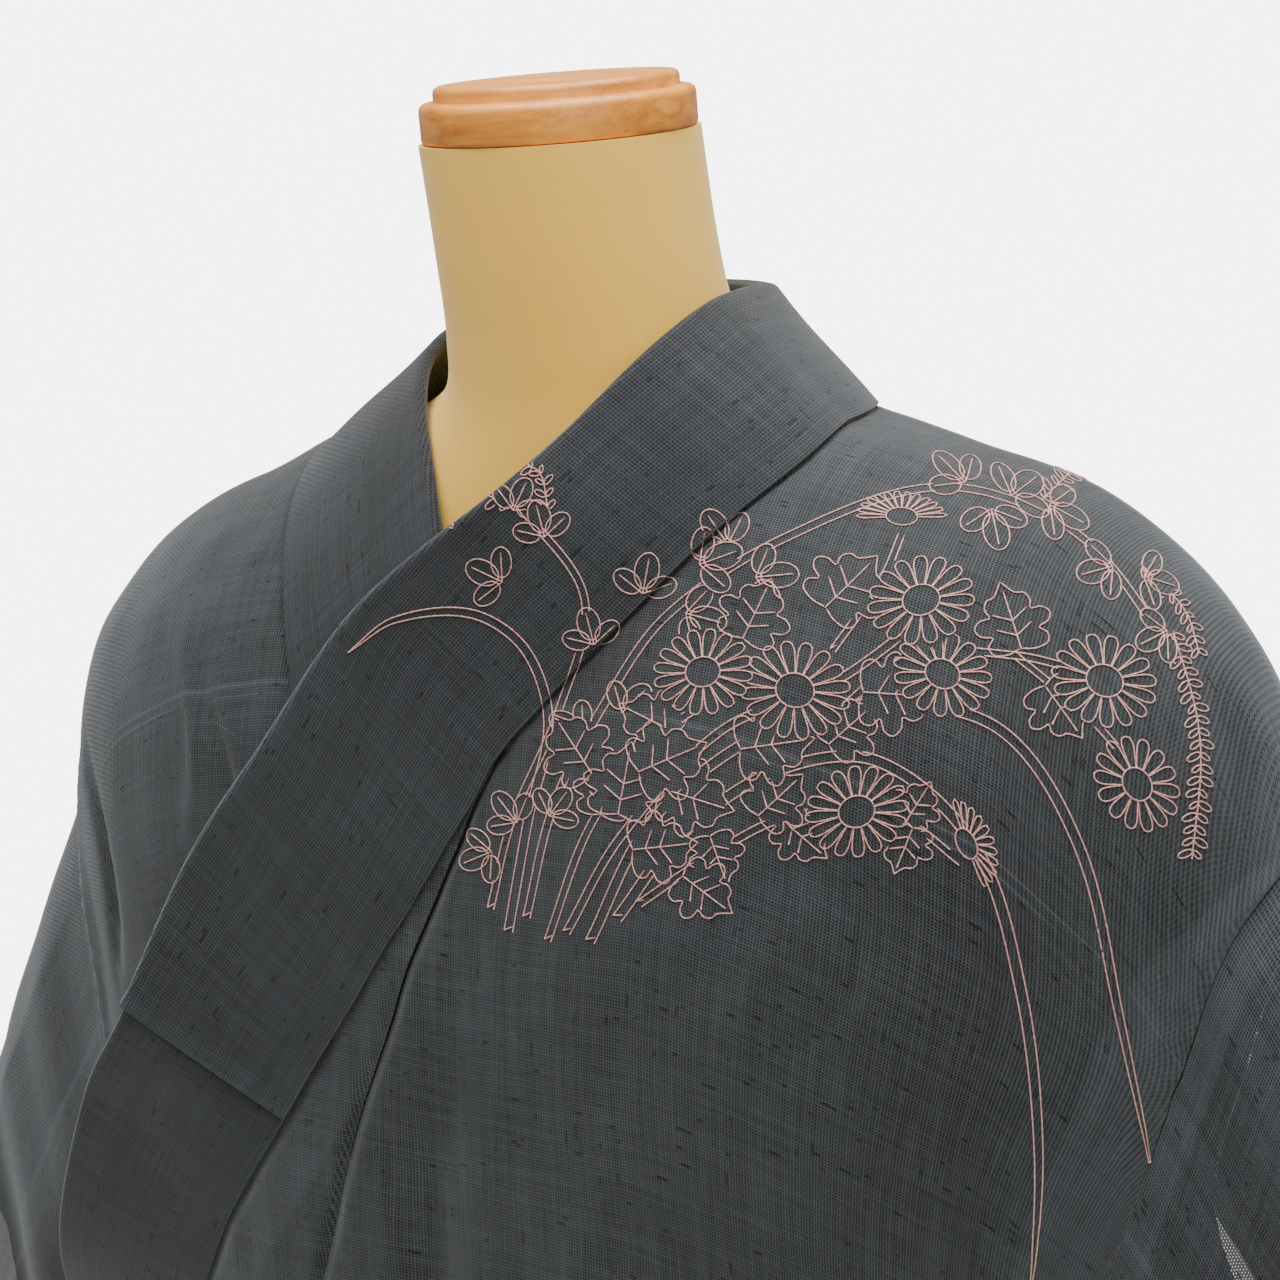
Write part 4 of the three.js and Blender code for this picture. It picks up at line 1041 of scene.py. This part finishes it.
# how far off, in metres, the drawing stands before it is laid on the cloth
DRAWN_OFF = 0.4
SILK_SHADE = (0.42, 0.19, 0.165, 1)
SILK_LIGHT = (0.66, 0.35, 0.31, 1)
# a flower's heart in its radius, a petal's half width in its share of the turn, how blunt it is
HEART = 0.35
HEART_POINTS = 26
PETAL_POINTS = 13
PETAL_WIDTH = 0.47
PETAL_TIP = 3.2
FLOWER_HIDES = 0.46
# middle, radius, squash, lean in degrees, petals, first and last petal's share of the turn
FLOWERS = (
    (62, 72, 16.5, 0.86, 10, 16, 0, 1), (91, 64, 17.5, 0.9, -20, 16, 0, 1), (133, 90, 17, 0.82, 15, 15, 0, 1),
    (131, 118, 14.5, 0.6, -8, 13, 0.02, 0.55), (137, 66, 15.5, 0.85, -30, 15, 0, 1),
    (107, 24, 16.5, 0.86, 24, 16, 0, 1), (187, 60, 17, 0.84, -25, 15, 0, 1),
    (194, 27, 16, 0.78, -60, 14, 0, 1), (140, 12, 15, 0.55, -70, 11, 0, 0.5),
)
# base, direction in degrees and length
LEAVES = (
    (38, 40, 20, 25), (30, 26, 75, 25), (52, 52, 150, 22), (22, 40, 120, 24), (46, 34, -20, 24),
    (72, 46, 5, 24), (76, 82, 60, 22), (103, 90, 40, 24), (112, 62, -8, 24), (76, 24, 40, 20),
    (84, 22, -45, 18), (34, 14, 5, 22), (50, 5, -40, 20), (162, 72, 100, 22), (168, 60, -60, 20),
    (124, 18, -115, 16), (24, 26, 75, 20), (122, 20, 55, 15), (100, 46, 38, 20), (60, 18, -75, 17),
)
# as shares of a leaf's length: half of its edge, ahead and across, and its veins' starts and run
LEAF_OUTLINE = (
    (0, 0.02), (-0.04, 0.2), (0.0, 0.4), (0.13, 0.44), (0.24, 0.34), (0.3, 0.5), (0.42, 0.56), (0.52, 0.45),
    (0.53, 0.3), (0.66, 0.34), (0.78, 0.27), (0.8, 0.16), (1, 0),
)
LEAF_VEINS = (0.2, 0.42)
VEIN_AHEAD = 0.14
VEIN_ACROSS = 0.26
RIB = 0.86
LEAF_MIDDLE = 0.42
# place, direction in degrees and length of a bush clover's three leaflets
CLOVERS = (
    (12, 122, 100, 13), (-4, 108, 150, 14), (2, 132, 60, 12), (26, 84, 100, 13), (44, 100, 75, 14),
    (64, 108, 15, 15), (74, 114, 120, 14), (58, 92, -20, 14), (82, 102, 0, 14), (20, 54, 150, 13),
    (34, 60, 40, 13), (-6, 24, 125, 13), (-16, 14, 200, 13), (6, 26, 50, 12), (154, 128, 120, 14),
    (168, 122, 30, 15), (160, 118, -90, 14), (180, 118, -35, 14),
    (196, 96, 190, 13), (206, 92, -20, 13), (210, 74, 200, 12),
)
# a leaflet's turn from the middle one and its share of the length; then its start, half reach and width
LEAFLETS = ((0, 1), (62, 0.86), (-62, 0.86))
LEAFLET_FORM = (0.12, 0.44, 0.3)
LEAFLET_POINTS = 20
# places that a stem passes through, with the gap between its two lines
STEMS = (
    (2.4, ((-18, -6), (-8, 24), (12, 62), (24, 100), (4, 134))),
    (2.4, ((2, -17), (20, 22), (44, 50), (62, 62))),
    (2.6, ((-5, -9), (8, 30), (30, 66), (52, 92), (92, 114), (146, 127), (186, 108), (212, 64))),
    (2.6, ((9, -14), (30, 18), (66, 52), (104, 66), (133, 84))),
    (2.4, ((35, -4), (54, 8), (78, 21), (96, 25))),
    (2.2, ((96, 50), (128, 72), (160, 70), (184, 62))), (2.0, ((100, 26), (122, 20), (138, 6))),
    (2.0, ((160, 70), (180, 50), (192, 34))), (2.0, ((104, 76), (122, 98), (130, 112))),
)
CUT_END = (0.6, 2.2)
BLADE_TAPER = 8
BLADES = (
    (3.2, ((-12, -14), (-2, 24), (8, 58), (2, 84), (-16, 98), (-44, 98), (-62, 88))),
    (3.4, ((27, -9), (50, 18), (82, 38), (114, 40), (142, 12), (154, -36), (157, -90), (152, -142))),
    (3.2, ((17, -17), (40, 22), (74, 48), (112, 58), (152, 48), (174, 10), (184, -46), (194, -104))),
)
BUD_SPACING = 3
BUD_LENGTHS = (0.36, 0.34)
BUD_TURN = 1.7
BUD_LEAN = 0.9
BUD_WIDTH = 0.42
BUD_POINTS = 9
BUD_STITCH = 0.7
# three places along a spike of buds, and the buds' size
RACEMES = (
    ((2, 134), (-16, 140), (-24, 128), 3.2), ((178, 120), (194, 130), (206, 134), 3.4),
    ((212, 74), (216, 40), (210, 2), 3.4), ((14, 130), (12, 144), (4, 148), 2.6),
    ((206, 96), (218, 80), (220, 66), 2.8),
)


def curve(points, gap=STITCH):
    """A smooth line through the places, cut into stitches."""
    points = np.array(points, float)
    steps = np.linalg.norm(np.diff(points, axis=0), axis=1)
    where = np.concatenate([[0], np.cumsum(steps)])
    count = max(int(where[-1] / gap), 3)
    at = np.linspace(0, where[-1], count)
    return np.moveaxis(follow(np.column_stack([where, points]), at), 0, -1)


def sideways(line):
    along = unit(np.gradient(line, axis=0))
    return np.stack([-along[:, 1], along[:, 0]], axis=-1)


def directed(place, angle, across, ahead):
    """Turns a small drawing, across and ahead, to point in a direction from a place."""
    turn = math.radians(angle)
    x = np.cos(turn) * ahead - np.sin(turn) * across
    y = np.sin(turn) * ahead + np.cos(turn) * across
    return np.stack([place[0] + x, place[1] + y], axis=-1)


covers, lines = [], []


def draw(points, behind=None):
    """Adds a line, leaving out what lies behind the plants drawn before it."""
    shown = np.ones(len(points), bool)
    for x, y, size in covers[:behind]:
        shown &= np.hypot(points[:, 0] - x, points[:, 1] - y) > size
    edges = np.flatnonzero(np.diff(shown.astype(int))) + 1
    for part, kept in zip(np.split(points, edges), np.split(shown, edges)):
        if kept[0] and len(part) > 1:
            lines.append(part)


def round_about(radius, angle):
    return np.stack([radius * np.cos(angle), radius * np.sin(angle)], axis=-1)


def figure(place, angle, across, ahead, behind):
    draw(curve(directed(place, angle, across, ahead)), behind)


def hide(place, angle, ahead, size):
    """Lets a plant hide what is drawn after it, round a point ahead of its place."""
    covers.append((*directed(place, angle, 0.0, ahead), size))


for x, y, size, squash, lean, petals, first, last in FLOWERS:
    turn = math.radians(lean)
    turned_by = np.array([[math.cos(turn), math.sin(turn)], [-math.sin(turn), math.cos(turn)]])
    heart = size * HEART
    span = 2 * math.pi * (last - first) / petals
    t = np.linspace(-1, 1, PETAL_POINTS)
    far = heart + (size - heart) * np.sqrt(np.clip(1 - np.abs(t) ** PETAL_TIP, 0, 1))
    drawn = [round_about(heart, np.linspace(0, 2 * math.pi, HEART_POINTS))]
    for k in range(petals):
        angle = 2 * math.pi * (first + (last - first) * k / petals)
        drawn.append(round_about(far, angle + span * PETAL_WIDTH * t))
    behind = len(covers)
    for part in drawn:
        draw(curve(part * (1, squash) @ turned_by + (x, y)), behind)
    covers.append((x, y, size * (1 + squash) * FLOWER_HIDES * (last - first)))

for x, y, angle, length in LEAVES:
    place, behind = (x, y), len(covers)
    ahead, across = (np.array(column) * length for column in zip(*LEAF_OUTLINE))
    for flank in (1, -1):
        figure(place, angle, flank * across, ahead, behind)
        for share in LEAF_VEINS:
            vein = np.array((share, share + VEIN_AHEAD)) * length
            figure(place, angle, flank * (np.array((0, VEIN_ACROSS)) * length), vein, behind)
    figure(place, angle, 0.0, np.array((0.0, RIB)) * length, behind)
    hide(place, angle, LEAF_MIDDLE * length, LEAF_MIDDLE * length)

for x, y, angle, length in CLOVERS:
    place, behind = (x, y), len(covers)
    loop = np.linspace(0, 2 * math.pi, LEAFLET_POINTS)
    near, reach, wide = LEAFLET_FORM
    for spread, scale in LEAFLETS:
        ahead = length * scale * (near + reach * (1 - np.cos(loop)))
        across = length * scale * wide * np.sin(loop)
        figure(place, angle + spread, across, ahead, behind)
        figure(place, angle + spread, 0.0, np.array((0.0, RIB)) * length * scale, behind)
        hide(place, angle + spread, (near + reach) * length * scale, wide * length * scale)

for gap, places in STEMS + BLADES:
    line = curve(places)
    blade = (gap, places) in BLADES
    taper = 1 - np.linspace(0, 1, len(line))[:, None] ** BLADE_TAPER if blade else 1
    edges = [line + sideways(line) * half * gap * taper for half in (0.5, -0.5)]
    for edge in edges:
        draw(edge)
    draw(curve([edges[0][0], edges[1][0] + CUT_END]))

for start, middle, end, size in RACEMES:
    line = curve((start, middle, end))
    draw(line)
    across = sideways(line)
    loop = np.linspace(0, 2 * math.pi, BUD_POINTS)
    for k in range(1, len(line) - 1, BUD_SPACING):
        for flank in (1, -1):
            length = size * (BUD_LENGTHS[0] + BUD_LENGTHS[1] * abs(math.sin(BUD_TURN * k + flank)))
            side_on = across[k] * flank * length + (line[k + 1] - line[k]) * BUD_LEAN
            bud = line[k] + side_on * (1 - np.cos(loop))[:, None]
            bud = bud + np.stack([-side_on[1], side_on[0]]) * BUD_WIDTH * np.sin(loop)[:, None]
            draw(curve(bud, STITCH * BUD_STITCH))

targets = ("body_left_cloth", "okumi_left_cloth", "eri_cloth", "tomoeri_cloth")
corners, polygons = [], []
for name in targets:
    mesh = bpy.data.objects[name].data
    polygons += [[corner + len(corners) for corner in face.vertices] for face in mesh.polygons]
    corners += [vertex.co.copy() for vertex in mesh.vertices]
surface = BVHTree.FromPolygons(corners, polygons)
inward = -SPRAY_RIGHT.cross(SPRAY_UP)

thread_points, thread_faces = [], []


def stitch_down(hits):
    """Adds a round thread along the places and outward directions where a line meets the cloth."""
    if len(hits) < 2:
        return
    first, last = len(thread_points), len(hits) - 1
    for k, (place, normal) in enumerate(hits):
        along = (hits[min(k + 1, last)][0] - hits[max(k - 1, 0)][0]).normalized()
        beside = along.cross(normal).normalized()
        size = THREAD * TWIST[k % 2]
        middle = place + normal * THREAD_RAISED * MM
        for j in range(THREAD_SIDES):
            a = math.radians(360 / THREAD_SIDES * j)
            offset = beside * math.cos(a) + normal * math.sin(a) * THREAD_FLATNESS
            thread_points.append(middle + offset * size * MM)
    for ring in range(first, first + THREAD_SIDES * last, THREAD_SIDES):
        for j in range(THREAD_SIDES):
            a, b = ring + j, ring + (j + 1) % THREAD_SIDES
            thread_faces.append((a, b, b + THREAD_SIDES, a + THREAD_SIDES))
    thread_faces.append(tuple(first + j for j in range(THREAD_SIDES)))
    thread_faces.append(tuple(first + THREAD_SIDES * last + j for j in reversed(range(THREAD_SIDES))))


for line in lines:
    hits = []
    for x, y in line:
        start = SPRAY_ORIGIN + SPRAY_RIGHT * x * MM + SPRAY_UP * y * MM - inward * DRAWN_OFF
        place, normal, _, _ = surface.ray_cast(start, inward)
        if place is None or (hits and (place - hits[-1][0]).length > THREAD_JUMP):
            stitch_down(hits)
            hits = []
        if place is not None:
            hits.append((place, normal))
    stitch_down(hits)


def silk():
    made, start = material("embroidery_thread")
    twist = start.in_object().noise(1500.0, 1.0)
    colour = blend(twist.step(0.3, 0.7), SILK_SHADE, SILK_LIGHT)
    sockets = {"Base Color": colour, "Roughness": 0.5, "Sheen Weight": 0.2}
    return finished(made, start, {**sockets, "Normal": twist.raised(0.4, 0.0001)})


thread_mesh = bpy.data.meshes.new("embroidery_thread")
thread_mesh.from_pydata(thread_points, [], thread_faces)
thread_mesh.shade_smooth()
thread_mesh.materials.append(silk())
put(thread_mesh, "kimono_cloth")

size = {"cad": [list(corner) for corner in cad_box], "visual": [list(corner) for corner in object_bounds()]}
